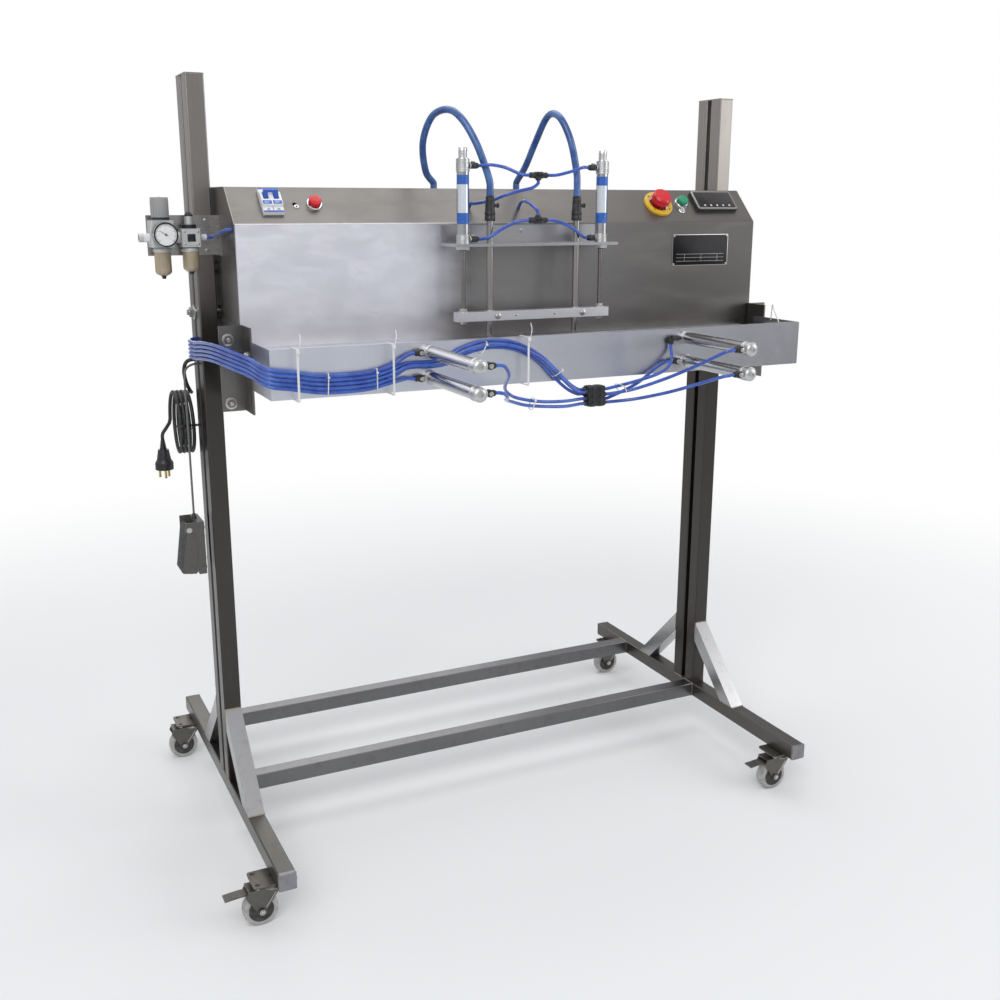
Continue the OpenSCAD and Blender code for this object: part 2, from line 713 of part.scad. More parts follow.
// Jaws
module seal_strip(y0, y1) translate([-jaw_l / 2, y0, jaw_mid_z - seal_h / 2])
    cube([jaw_l, y1 - y0, seal_h]);
jaw_chamfer = 6;
module rear_jaw() made(grey) {
    along_x(-jaw_l / 2, jaw_l / 2) polygon([
        [-head_front, jaw_top], [-rear_jaw_face + seal_d + jaw_chamfer, jaw_top],
        [-rear_jaw_face + seal_d, jaw_top - jaw_chamfer],
        [-rear_jaw_face + seal_d, jaw_top - jaw_h + jaw_chamfer],
        [-rear_jaw_face + seal_d + jaw_chamfer, jaw_top - jaw_h],
        [-head_front, jaw_top - jaw_h]
    ]);
    seal_strip(-rear_jaw_face, -rear_jaw_face + seal_d);
}
module front_jaw() made(grey) {
    along_x(-jaw_l / 2, jaw_l / 2) polygon([
        [-front_jaw_back, jaw_top], [-front_jaw_face - seal_d - jaw_chamfer, jaw_top],
        [-front_jaw_face - seal_d, jaw_top - jaw_chamfer],
        [-front_jaw_face - seal_d, jaw_top - jaw_h + jaw_chamfer],
        [-front_jaw_face - seal_d - jaw_chamfer, jaw_top - jaw_h],
        [-front_jaw_back, jaw_top - jaw_h]
    ]);
    seal_strip(-front_jaw_face - seal_d, -front_jaw_face);
}

// Rods and pistons of the clamp cylinders, with the plates that join them to the front jaw
rod_plate_w = 36;
rod_plate_t = 6;
rod_plate_over = 4;
piston_r = cyl_r - bore_wall - pin_fit;
piston_y = beam_front + clamp_l - cap_l - piston_t - 2;
module jaw_rods() made(bright) {
    for (x = [-clamp_x, clamp_x])
        translate([x - rod_plate_w / 2, -front_jaw_back - rod_plate_t, clamp_z0 - rod_r - rod_plate_over])
            cube([rod_plate_w, rod_plate_t, clamp_pitch + 2 * rod_r + 2 * rod_plate_over]);
    for (p = CLAMP_PLACES) {
        rod_y(p[0], -piston_y, -front_jaw_back - rod_plate_t, p[1], rod_r);
        rod_y(p[0], -piston_y - piston_t, -piston_y, p[1], piston_r);
    }
}

// Cylinder tube and its end caps, standing along Z from its mounting face
module barrel(l) translate([0, 0, nose_l]) difference() {
    cylinder(r = cyl_r, h = l - nose_l - cap_l, $fn = fine);
    translate([0, 0, -over]) cylinder(r = cyl_r - bore_wall, h = l, $fn = fine);
}
cap_r = cyl_r + 1;
dome_r = cyl_r / 2;
module nose_cap(plate) difference() {
    union() {
        cylinder(r = cap_r, h = nose_l, $fn = fine);
        translate([0, 0, -plate - nose_nut_t]) cylinder(r = clamp_hole_r - pin_fit, h = plate +
            nose_nut_t + over, $fn = fine);
        translate([0, 0, -plate - nose_nut_t]) hex(nose_nut_r, nose_nut_t);
    }
    translate([0, 0, -plate - nose_nut_t - over]) cylinder(r = rod_r + pin_fit, h = nose_l + plate +
        nose_nut_t + 2 * over, $fn = fine);
}
module rear_cap(l) translate([0, 0, l - cap_l]) {
    cylinder(r = cap_r, h = cap_l - dome_r / 2, $fn = fine);
    translate([0, 0, cap_l - dome_r / 2]) cylinder(r1 = cap_r, r2 = dome_r, h = dome_r / 2, $fn = fine);
}
module at_clamps() for (p = CLAMP_PLACES) translate([p[0], -beam_front, p[1]]) rotate([90, 0, 0])
    children();
module at_lifts() for (x = [-lift_x, lift_x]) translate([x, -lift_y, lift_top]) children();
module cylinder_barrels() made(bright) {
    at_clamps() barrel(clamp_l);
    at_lifts() barrel(lift_l);
}
nut_top_r = 7.5;
module cylinder_caps() made(grey) {
    at_clamps() { nose_cap(beam_t); rear_cap(clamp_l); }
    at_lifts() {
        nose_cap(lift_plate_t);
        translate([0, 0, lift_l - cap_l]) cylinder(r = cap_r, h = cap_l, $fn = fine);
        translate([0, 0, lift_l]) cylinder(r = nut_top_r, h = lift_nut_l, $fn = fine);
    }
}

// Plate that carries the lift cylinders and guides the nozzles
lift_flange_h = 36;
lift_screw_r = 5;
module lift_plate() made(bright) difference() {
    union() {
        along_x(-lift_plate_l / 2, lift_plate_l / 2) {
            translate([-nozzle_y - lift_plate_lead, lift_plate_z])
                square([nozzle_y + lift_plate_lead - head_front, lift_plate_t]);
            translate([-head_front - lift_plate_t, lift_plate_z]) square([lift_plate_t, lift_flange_h]);
        }
        translate([0, -head_front - lift_plate_t, lift_plate_z + lift_flange_h - 2 * lift_screw_r])
            rotate([90, 0, 0]) hex(lift_screw_r, lift_plate_t);
    }
    for (x = [-nozzle_x, nozzle_x]) translate([x, -nozzle_y, lift_plate_z - over])
        cylinder(r = nozzle_r + slide_fit, h = lift_plate_t + 2 * over, $fn = fine);
    for (x = [-lift_x, lift_x]) translate([x, -lift_y, lift_plate_z - over])
        cylinder(r = clamp_hole_r, h = lift_plate_t + 2 * over, $fn = fine);
}
lift_piston_z = lift_top + nose_l + over;
module lift_rods() made(bright) for (x = [-lift_x, lift_x]) translate([x, -lift_y, 0]) {
    translate([0, 0, nozzle_bar_top]) cylinder(r = rod_r, h = lift_piston_z - nozzle_bar_top +
        piston_t, $fn = fine);
    translate([0, 0, lift_piston_z]) cylinder(r = piston_r, h = piston_t, $fn = fine);
}
module nozzle_bar() made(bright) difference() {
    translate([-nozzle_bar_l / 2, -nozzle_y - nozzle_bar_d / 2, nozzle_bar_top - nozzle_bar_h])
        cube([nozzle_bar_l, nozzle_bar_d, nozzle_bar_h]);
    for (x = [-nozzle_x, nozzle_x]) translate([x, -nozzle_y, nozzle_bar_top - nozzle_bar_h - over])
        cylinder(r = nozzle_r + pin_fit, h = nozzle_bar_h + 2 * over, $fn = fine);
}

// Suction and gas tubes with the black elbows that take the hoses
module nozzle_tubes() made(bright) for (x = [-nozzle_x, nozzle_x]) translate([x, -nozzle_y, nozzle_tip]) {
    difference() {
        cylinder(r = nozzle_r, h = nozzle_l, $fn = fine);
        translate([0, 0, -over]) cylinder(r = nozzle_r - nozzle_wall, h = nozzle_l + 2 * over, $fn = fine);
    }
    translate([0, 0, nozzle_l]) {
        cylinder(r = elbow_r, h = elbow_l / 3, $fn = fine);
        translate([0, 0, elbow_l / 3]) cylinder(r1 = elbow_r, r2 = hose_r + 1, h = elbow_l * 2 / 3,
            $fn = fine);
    }
}

// Two-pole breaker in its window; the two levers share a tie bar
breaker_depth = 38;
breaker_nose_l = 30;
breaker_nose_h = 5;
lever_r = 4;
lever_w = 8;
lever_out = 9;
lever_slot_w = lever_w + 2;
lever_seat = (lever_slot_w - lever_w) / 2 - slide_fit / 2;
pole_w = breaker_w / 2;
lever_s = breaker_s + 6;
lever_tilt = 25;
lever_travel = 50;
module breaker_body() made(white) difference() {
    union() {
        on_slope(-breaker_x, breaker_s) {
            translate([-breaker_window[0] / 2 + slide_fit, -breaker_window[1] / 2 + slide_fit,
                -breaker_depth])
                cube([breaker_window[0] - 2 * slide_fit, breaker_window[1] - 2 * slide_fit,
                    breaker_depth + over]);
            translate([-breaker_w / 2, -breaker_l / 2, 0])
                cube([breaker_w, breaker_l, breaker_out - breaker_nose_h]);
            translate([-breaker_w / 2, -breaker_nose_l / 2, 0])
                cube([breaker_w, breaker_nose_l, breaker_out]);
        }
    }
    on_slope(-breaker_x, lever_s) for (x = [-1, 1])
        translate([x * pole_w / 2 - lever_slot_w / 2, -lever_r * 2, breaker_out - lever_r * 2.5])
            cube([lever_slot_w, lever_r * 4, lever_r * 3]);
}
module breaker_lever() made(blue) on_slope(-breaker_x, lever_s)
    translate([0, 0, breaker_out - lever_r]) rotate([-lever_tilt, 0, 0]) {
    for (x = [-1, 1]) translate([x * pole_w / 2 - lever_w / 2, 0, 0]) rotate([0, 90, 0]) {
        translate([0, 0, -lever_seat]) cylinder(r = lever_r - slide_fit, h = lever_w + 2 * lever_seat,
            $fn = fine);
        translate([-lever_r - lever_out, -lever_r / 2, 0]) cube([lever_r + lever_out, lever_r, lever_w]);
    }
    translate([-pole_w / 2, -lever_r / 2, lever_out]) cube([pole_w, lever_r, lever_r]);
}

// Bezels and collars of the buttons, and the toggle's nut
bezel_t = 3;
collar_t = 5;
barrel_r = hole_22 - hole_fit;
barrel_l = 24;
module bezel(x, s, d, t, inner_r) on_slope(x, s) difference() {
    union() {
        cylinder(r1 = d / 2, r2 = d / 2 - t / 3, h = t, $fn = fine);
        translate([0, 0, -barrel_l]) cylinder(r = barrel_r, h = barrel_l + over, $fn = fine);
    }
    translate([0, 0, -barrel_l + bezel_t]) cylinder(r = inner_r, h = barrel_l + t + over, $fn = fine);
}
estop_stem_r = 8;
cap_bore_r = start_cap_d / 2 - 2;
module panel_bezels() made(bright) {
    bezel(estop_x, button_s, estop_collar_d, collar_t, estop_stem_r + pin_fit);
    bezel(start_x, start_s, start_bezel_d, bezel_t, cap_bore_r + pin_fit);
    bezel(-lamp_x, button_s, start_bezel_d, bezel_t, cap_bore_r + pin_fit);
    on_slope(toggle_x, toggle_s) difference() {
        union() {
            hex(toggle_thread_r * 2, bezel_t);
            translate([0, 0, -barrel_l / 2]) cylinder(r = toggle_thread_r, h = barrel_l / 2 + bezel_t *
                2, $fn = fine);
        }
        translate([0, 0, bezel_t * 2 - 2 * toggle_r - pin_fit])
            cylinder(r = toggle_thread_r - over, h = 2 * toggle_r + pin_fit + over, $fn = fine);
    }
}

// Mushroom head of the emergency stop, on its stem
estop_h = 26;
stem_room = barrel_l - bezel_t - estop_travel - over;
module estop_button() made("red") on_slope(estop_x, button_s) {
    translate([0, 0, -stem_room]) cylinder(r = estop_stem_r, h = stem_room + collar_t + estop_travel +
        2 * over, $fn = fine);
    translate([0, 0, collar_t + estop_travel + over]) rotate_extrude($fn = fine) polygon([
        [0, 0], [estop_head_d / 2 - bezel_t, 0], [estop_head_d / 2, bezel_t],
            [estop_head_d / 2, estop_h - collar_t - estop_travel - bezel_t],
        [estop_head_d / 2 - bezel_t, estop_h - collar_t - estop_travel],
            [0, estop_h - collar_t - estop_travel + over]
    ]);
}
button_out = 9;
module push_cap(x, s) on_slope(x, s) {
    translate([0, 0, -stem_room]) cylinder(r = cap_bore_r, h = stem_room + bezel_t + start_travel +
        over, $fn = fine);
    translate([0, 0, bezel_t + start_travel + over / 2])
        cylinder(r1 = start_cap_d / 2, r2 = start_cap_d / 2 - over, h = button_out - bezel_t, $fn = fine);
}
module start_button() made("green") push_cap(start_x, start_s);
module stop_button() made("red") push_cap(-lamp_x, button_s);
toggle_r = 1.6;
toggle_pin_r = 0.8;
toggle_pin_l = 3.5;
toggle_len = 13;
toggle_tilt = 12;
module toggle_lever() made(bright) on_slope(toggle_x, toggle_s)
    translate([0, 0, bezel_t * 2 - toggle_r]) rotate([toggle_tilt, 0, 0]) {
    sphere(r = toggle_r);
    rotate([0, 90, 0]) cylinder(r = toggle_pin_r, h = toggle_pin_l, center = true, $fn = fine);
    cylinder(r1 = toggle_r * 0.7, r2 = toggle_r, h = toggle_len, $fn = fine);
    translate([0, 0, toggle_len]) sphere(r = toggle_r);
}
controller_bezel_t = 9;
controller_depth = 66;
module controller() made(black) on_slope(controller_x, controller_s) {
    translate([-controller_w / 2, -controller_h / 2, 0])
        cube([controller_w, controller_h, controller_bezel_t]);
    translate([-controller_window[0] / 2 + slide_fit, -controller_window[1] / 2 + slide_fit,
        -controller_depth])
        cube([controller_window[0] - 2 * slide_fit, controller_window[1] - 2 * slide_fit,
            controller_depth + over]);
}

// Air unit on its plate, left of the head
module air_plate() made(grey) translate([0, 0, air_plate_z - air_plate_h / 2]) linear_extrude(air_plate_h) {
    translate([-plate_x0, -plate_y - air_plate_t]) square([plate_x0 - head_x, air_plate_t]);
    translate([-plate_x1, -plate_y - regulator_w]) square([air_plate_t, regulator_w]);
}
bowl_l = 48;
neck_l = 6;
module bowl(x, z, l) translate([x, -unit_y, z]) rotate_extrude($fn = fine) polygon([
    [0, 0], [bowl_d / 2 - neck_l / 2, 0], [bowl_d / 2, -neck_l / 2], [bowl_d / 2, -neck_l],
        [bowl_d / 2 - over, -neck_l - over],
    [bowl_d / 2 - over, -l + neck_l], [bowl_d / 4, -l], [over * 3, -l], [over * 3, -l - neck_l],
        [0, -l - neck_l]
]);
module unit_block(x, z, w, h) translate([x - w / 2, -unit_y - w / 2, z]) linear_extrude(h)
    translate([w / 2, w / 2]) round_rect(w, w, w * corner_share);
gauge_stem_r = 5;
dome_h = 22;
regulator_top = regulator_z0 + regulator_h;
oiler_top = regulator_z0 + oiler_h;
module air_unit() made(bright) {
    difference() {
        union() {
            unit_block(-regulator_x, regulator_z0, regulator_w, regulator_h);
            rod_x(-left_end, -regulator_x - regulator_w / 2 + over, -unit_y, inlet_z, inlet_boss_r);
            rod_y(-regulator_x, -gauge_y, -unit_y, gauge_z, gauge_stem_r);
        }
        rod_x(-left_end - over, -left_end + inlet_l, -unit_y, inlet_z, inlet_d / 2);
        translate([-regulator_x, -unit_y, regulator_top - neck_l])
            cylinder(r = gauge_stem_r + pin_fit, h = neck_l + over, $fn = fine);
    }
    rod_x(-regulator_x + regulator_w / 2, -oiler_x - oiler_w / 2, -unit_y, inlet_z, inlet_boss_r + over);
    unit_block(-oiler_x, regulator_z0, oiler_w, oiler_h);
    along_y(-plate_y - air_plate_t - (regulator_w - oiler_w) / 2, -plate_y - air_plate_t)
        translate([-oiler_x, regulator_z0 + oiler_h / 2]) square([oiler_w / 2, oiler_h / 2], center = true);
    bowl(-regulator_x, regulator_z0, bowl_l);
    bowl(-oiler_x, regulator_z0, bowl_l - neck_l);
    translate([-oiler_x, -unit_y, oiler_top]) {
        cylinder(r = bowl_d / 2 - neck_l / 2, h = dome_h / 3, $fn = fine);
        cylinder(r = bowl_d / 4, h = dome_h, $fn = fine);
        translate([0, 0, dome_h]) cylinder(r1 = bowl_d / 4, r2 = bowl_d / 8, h = dome_h / 4, $fn = fine);
    }
    rod_x(-oiler_x + oiler_w / 2, -oiler_x + oiler_w / 2 + fitting_l, -unit_y, inlet_z, tube_d / 2 + 2);
}
fitting_l = 12;
rim_w = 2.5;
module pressure_gauge() made(black) translate([-regulator_x, -gauge_y, gauge_z]) rotate([90, 0, 0])
    difference() {
    cylinder(r = gauge_d / 2, h = gauge_t, $fn = fine);
    translate([0, 0, gauge_t - rim_w]) cylinder(r = gauge_d / 2 - rim_w, h = rim_w + over, $fn = fine);
}
knob_ribs = 18;
module regulator_knob() made(grey) translate([-regulator_x, -unit_y, regulator_top + slide_fit]) {
    difference() {
        cylinder(r = knob_d / 2, h = knob_h, $fn = fine);
        for (i = [0:knob_ribs - 1]) rotate([0, 0, i * 360 / knob_ribs])
            translate([knob_d / 2 + rim_w / 3, 0, knob_h / 4])
            cylinder(r = rim_w / 2, h = knob_h);
    }
    translate([0, 0, -neck_l + over]) cylinder(r = gauge_stem_r, h = neck_l, $fn = fine);
}

// What works inside the head: seal transformer, air valves and vacuum ejector
floor_z = head_bottom + sheet_t;
core = [96, 80, 84];
winding = [60, 116, 52];
transformer_at = [260, -80, floor_z];
module transformer() made(dark) translate(transformer_at) {
    translate([-core[0] / 2, -core[1] / 2, 0]) cube([core[0], core[1], core[2]]);
    for (y = [-1, 1]) translate([-winding[0] / 2, y < 0 ? -winding[1] / 2 : core[1] / 2,
        (core[2] - winding[2]) / 2])
        cube([winding[0], (winding[1] - core[1]) / 2, winding[2]]);
}
valve = [22, 70, 58];
valves = 4;
manifold_h = 24;
valve_at = [-300, -90, floor_z];
module valve_block() made(grey) translate(valve_at) {
    translate([-valves * valve[0] / 2 - over, -valve[1] / 2, 0])
        cube([valves * valve[0] + 2 * over, valve[1], manifold_h]);
    for (i = [0:valves - 1]) translate([(i - valves / 2) * valve[0] + over / 2, -valve[1] / 2, manifold_h])
        cube([valve[0] - over, valve[1], valve[2] - manifold_h]);
}
ejector = [120, 46, 50];
silencer_r = 12;
ejector_at = [-30, -90, floor_z];
module vacuum_pump() made(grey) translate(ejector_at) {
    translate([-ejector[0] / 2, -ejector[1] / 2, 0]) cube(ejector);
    rod_x(ejector[0] / 2, ejector[0] / 2 + silencer_r * 4, 0, ejector[2] / 2, silencer_r);
}

// Smooth line through points: Catmull-Rom curve with n steps for each span
function spline_at(a, b, c, d, t) = 0.5 * ((2 * b) + (c - a) * t + (2 * a - 5 * b + 4 * c - d) * t * t
    + (3 * b - a - 3 * c + d) * t * t * t);
function smooth(p, n) = [
    for (i = [0:len(p) - 2], k = [0:n - 1]) i == 0 || i == len(p) - 2 ? p[i] + (p[i + 1] - p[i]) * k / n
        : spline_at(p[i - 1], p[i], p[i + 1], p[i + 2], k / n),
    p[len(p) - 1]
];
function unit(v) = v / norm(v);
function heading(p, i) = unit(p[min(i + 1, len(p) - 1)] - p[max(i - 1, 0)]);
function side_of(v) = unit(abs(v[2]) < 0.9 ? cross(v, [0, 0, 1]) : cross(v, [0, 1, 0]));
function carried(n, t) = unit(n - (n * t) * t);
function normals(p) = [
    for (i = 0, n = side_of(heading(p, 0)); i < len(p); i = i + 1, n = i < len(p)
        ? carried(n, heading(p, i)) : n) n
];
function ring(c, t, n, r, sides) = [
    for (j = [0:sides - 1]) c + r * (cos(j * 360 / sides) * n + sin(j * 360 / sides) * cross(t, n))
];
module tube(p, r, sides) {
    ns = normals(p);
    points = [for (i = [0:len(p) - 1]) each ring(p[i], heading(p, i), ns[i], r, sides)];
    last = (len(p) - 1) * sides;
    walls = [
        for (i = [0:len(p) - 2], j = [0:sides - 1])
            let (a = i * sides + j, b = i * sides + (j + 1) % sides)
                each [[a, b + sides, b], [a, a + sides, b + sides]]
    ];
    ends = [for (j = [1:sides - 2]) each [[0, j, j + 1], [last, last + j + 1, last + j]]];
    polyhedron(concat(walls == [] ? [] : points), concat(walls, ends), convexity = 6);
}
tube_sides = 8;
tube_r = tube_d / 2;

// Ports on the cylinders and the fittings in them
port_fit_r = 5;
port_fit_l = 16;
port_fit_x = cap_r + port_fit_l;
nose_port_y = beam_front + nose_l / 2;
rear_port_y = beam_front + clamp_l - cap_l / 2;
lift_port_low = lift_top + nose_l / 2;
lift_port_high = lift_top + lift_l - cap_l / 2;

// Manifold where the clamp tubes meet, hung on them in front of the beam
manifold_x = [42, 76];
manifold_y = [-372, -353];
manifold_z = [886, 922];

// Trunk of five air tubes, from the left post's slot, round the beam's end and along its front
post_x_drawn = 543;
beside_post = [post_x_drawn - post_x, 0, 0];
function shifted(points, by) = [for (p = points) p + by];
TRUNK_END = [
    [-534, 0, tube_exit_z], [-560, 0, tube_exit_z], [-582, -4, tube_exit_z], [-594, -25, tube_exit_z - 1],
    [-592, -60, 985], [-588, -120, 991], [-583, -186, 994], [-572, -245, 991], [-554, -305, 984],
    [-545, -344, 977], [-531, -359, 971]
];
TRUNK = concat(shifted(TRUNK_END, beside_post), [[-500, -359, 966], [-448, -358, 957],
    [-378, -358, 957], [-334, -358, 965]]);
trunk_row = [1, -1, 0, 2, -2];
function trunk(i) = shifted(TRUNK, [0, 0, trunk_row[i] * tube_pitch]);
LOOP_A = [
    [-300, -354, 982], [-258, -354, 982], [-230, -354, 985], [-205, -355, 1000], [-166, -356, 1011],
        [-127, -356, 1012],
    [-88, -356, 1003], [-47, -356, 981], [-15, -357, 952], [10, -358, 928], [30, -358, 916], [42, -358, 916]
];
LOOP_B = [
    [-300, -354, 974], [-258, -354, 974], [-228, -354, 977], [-203, -355, 989], [-166, -355, 999],
        [-127, -356, 1000],
    [-88, -356, 991], [-50, -356, 970], [-22, -357, 942], [5, -358, 919], [28, -358, 908], [42, -358, 908]
];
LOOP_C = [
    [-300, -362, 978], [-258, -362, 978], [-229, -362, 981], [-204, -363, 995], [-166, -364, 1005],
        [-127, -364, 1006],
    [-88, -364, 997], [-49, -364, 976], [-18, -365, 948], [8, -366, 924], [29, -366, 912], [42, -366, 912]
];
LOOPS = [LOOP_A, LOOP_B, LOOP_C];
LOW_TOP = [
    [-212, -546, 996], [-194, -525, 978], [-172, -465, 948], [-140, -425, 927], [-105, -408, 915],
    [-60, -394, 906], [-10, -378, 901], [30, -364, 900], [42, -364, 900]
];
LOW_BOTTOM = [
    [-212, -546, 953], [-194, -520, 941], [-172, -470, 929], [-140, -432, 917], [-105, -412, 906],
    [-60, -396, 898], [-10, -380, 892], [30, -364, 891], [42, -364, 891]
];
RIGHT_NOSE_TOP = [[76, -358, 914], [88, -358, 914], [150, -366, 926], [198, -372, 940],
    [218, -371, 958], [225, -360, 974]];
RIGHT_NOSE_LOW = [[76, -358, 896], [88, -358, 896], [150, -358, 918], [190, -358, 944], [212, -358, 955]];
RIGHT_REAR_TOP = [[76, -367, 906], [88, -367, 906], [130, -384, 914], [170, -430, 938],
    [195, -490, 968], [210, -538, 993], [220, -546, 998]];
RIGHT_REAR_LOW = [[76, -367, 891], [88, -367, 891], [130, -386, 896], [170, -432, 912],
    [195, -490, 934], [210, -538, 952], [220, -546, 955]];
SUPPLY = [[-549, -76, 1184], [-548, -100, 1188], [-548, -135, 1194],
    [-546, -157, 1197], [-541, -165, 1198], [-532, -165, 1198]];
nose_left = -clamp_x - port_fit_x;
nose_right = clamp_x - port_fit_x;
NOSE_HIGH = [-305, -358, 994];
NOSE_LOW = [-305, -358, 957];
function into(p, dir) = [p + [dir * tube_d, 0, 0], p];
function out_of(p, dir) = [p, p + [dir * tube_d, 0, 0]];
elbow_end = [nose_right - port_fit_r, -nose_port_y, clamp_z1 - port_fit_r * 2];
supply_end = [-oiler_x + oiler_w / 2 + fitting_l, -unit_y, inlet_z];
AIR_RUNS = [
    for (i = [0:2]) concat(trunk(i), LOOPS[i]),
    concat(trunk(3), [NOSE_HIGH], into([nose_left, -nose_port_y, clamp_z1], -1)),
    concat(trunk(4), [NOSE_LOW], into([nose_left, -nose_port_y, clamp_z0], -1)),
    concat(out_of([-clamp_x + port_fit_x, -rear_port_y, clamp_z1], 1), LOW_TOP),
    concat(out_of([-clamp_x + port_fit_x, -rear_port_y, clamp_z0], 1), LOW_BOTTOM),
    concat(RIGHT_NOSE_TOP, [elbow_end - [0, 0, tube_d], elbow_end]),
    concat(RIGHT_NOSE_LOW, into([nose_right, -nose_port_y, clamp_z0], -1)),
    concat(RIGHT_REAR_TOP, into([nose_right, -rear_port_y, clamp_z1], -1)),
    concat(RIGHT_REAR_LOW, into([nose_right, -rear_port_y, clamp_z0], -1)),
    concat(out_of(supply_end, 1), shifted(SUPPLY, beside_post))
];
module air_tubes() made(blue) for (run = AIR_RUNS) tube(smooth(run, 2), tube_r, tube_sides);

// Thin tubes between the lift cylinders, through two tees
tee_x = 5;
tee_half = 17;
tee_leg = 9;
tee_z = [1212, 1291];
tee_y = 238;
LIFT_HIGH_LEFT = [
    [-109, -232, 1306], [-102, -241, 1307], [-90, -247, 1307], [-65, -246, 1303], [-34, -240, 1293],
    [-20, -238, 1291]
];
LIFT_HIGH_RIGHT = [
    [29, -238, 1291], [44, -240, 1292], [68, -246, 1298], [90, -247, 1305], [102, -241, 1306],
    [109, -232, 1306]
];
LIFT_LOW_LEFT = [
    [-108, -232, lift_port_low], [-94, -244, 1184], [-72, -246, 1197], [-46, -245, 1208], [-20, -238, 1212]
];
LIFT_LOW_RIGHT = [
    [29, -238, 1212], [46, -244, 1209], [74, -246, 1197], [94, -244, 1184], [108, -232, lift_port_low]
];
BRANCH_HIGH = [
    [5, -238, 1277], [-8, -239, 1269], [-36, -238, 1263], [-58, -231, 1256], [-72, -212, 1248],
    [-84, -185, 1243], [-91, -162, 1241]
];
BRANCH_LOW = [[5, -238, 1226], [4, -230, 1233], [2, -213, 1241], [2, -190, 1246], [6, -168, 1244]];
function slope_point(p, out) = [p[0], -head_front + (p[1] - out) / sqrt(2), crease_z + (p[1] + out)
    / sqrt(2)];
lift_fit_x = lift_x - port_fit_x;
function tee_end(i, side) = [tee_x + side * tee_half, -tee_y, tee_z[i]];
LIFT_RUNS = [
    concat([[-lift_fit_x, -lift_y, lift_port_high]], LIFT_HIGH_LEFT, [tee_end(1, -1)]),
    concat([tee_end(1, 1)], LIFT_HIGH_RIGHT, [[lift_fit_x, -lift_y, lift_port_high]]),
    concat([[-lift_fit_x, -lift_y, lift_port_low]], LIFT_LOW_LEFT, [tee_end(0, -1)]),
    concat([tee_end(0, 1)], LIFT_LOW_RIGHT, [[lift_fit_x, -lift_y, lift_port_low]]),
    concat([[tee_x, -tee_y, tee_z[1] - tee_leg]], BRANCH_HIGH,
        [slope_point(lift_ports[1], tube_d), slope_point(lift_ports[1], -tube_d)]),
    concat([[tee_x, -tee_y, tee_z[0] + tee_leg]], BRANCH_LOW,
        [slope_point(lift_ports[0], tube_d), slope_point(lift_ports[0], -tube_d)])
];
module lift_tubes() made(blue) for (run = LIFT_RUNS) tube(smooth(run, 2), tube_r, tube_sides);

// Push-in fittings, tees and the manifold
module fitting(x, dir, y, z, l) translate([x, y, z]) rotate([0, dir * 90, 0]) {
    cylinder(r = port_r, h = l, $fn = fine);
    translate([0, 0, port_l]) cylinder(r = port_fit_r, h = l - port_l, $fn = fine);
}
module air_fittings() made(black) {
    for (z = [clamp_z0, clamp_z1]) {
        fitting(-clamp_x - cap_r, -1, -nose_port_y, z, port_fit_l);
        fitting(-clamp_x + cap_r, 1, -rear_port_y, z, port_fit_l);
        fitting(clamp_x - cap_r, -1, -rear_port_y, z, port_fit_l);
    }
    fitting(clamp_x - cap_r, -1, -nose_port_y, clamp_z0, port_fit_l);
    fitting(clamp_x - cap_r, -1, -nose_port_y, clamp_z1, port_fit_l + port_r);
    translate([nose_right - port_fit_r, -nose_port_y, clamp_z1 - port_fit_r * 2])
        cylinder(r = port_fit_r, h = port_fit_r * 2, $fn = fine);
    for (z = [lift_port_low, lift_port_high]) {
        fitting(-lift_x + cap_r, 1, -lift_y, z, port_fit_l);
        fitting(lift_x - cap_r, -1, -lift_y, z, port_fit_l);
    }
    rod_x(tee_x - tee_half, tee_x + tee_half, -tee_y, tee_z[0], port_fit_r);
    rod_x(tee_x - tee_half, tee_x + tee_half, -tee_y, tee_z[1], port_fit_r);
    translate([tee_x, -tee_y, tee_z[0]]) cylinder(r = port_fit_r, h = tee_leg, $fn = fine);
    translate([tee_x, -tee_y, tee_z[1] - tee_leg]) cylinder(r = port_fit_r, h = tee_leg, $fn = fine);
    translate([manifold_x[0], manifold_y[0], manifold_z[0]])
        cube([manifold_x[1] - manifold_x[0], manifold_y[1] - manifold_y[0], manifold_z[1] - manifold_z[0]]);
}

// Ties that hold the tubes to the beam
tie_t = 1.2;
tie_w = 3.6;
tie_gap = 0.5;
tie_xs = [-492, -330, -80];
tie_front = 20;
module cable_ties() made(white) for (x = tie_xs)
    along_x(x - tie_w / 2, x + tie_w / 2) translate([-beam_front - tie_front, beam_bottom - tie_gap])
        difference() {
        translate([-tie_t, -tie_t]) square([tie_front + beam_lip + tie_gap + 2 * tie_t, beam_h + 2 *
            tie_gap + 2 * tie_t]);
        square([tie_front + beam_lip + tie_gap, beam_h + 2 * tie_gap]);
    }

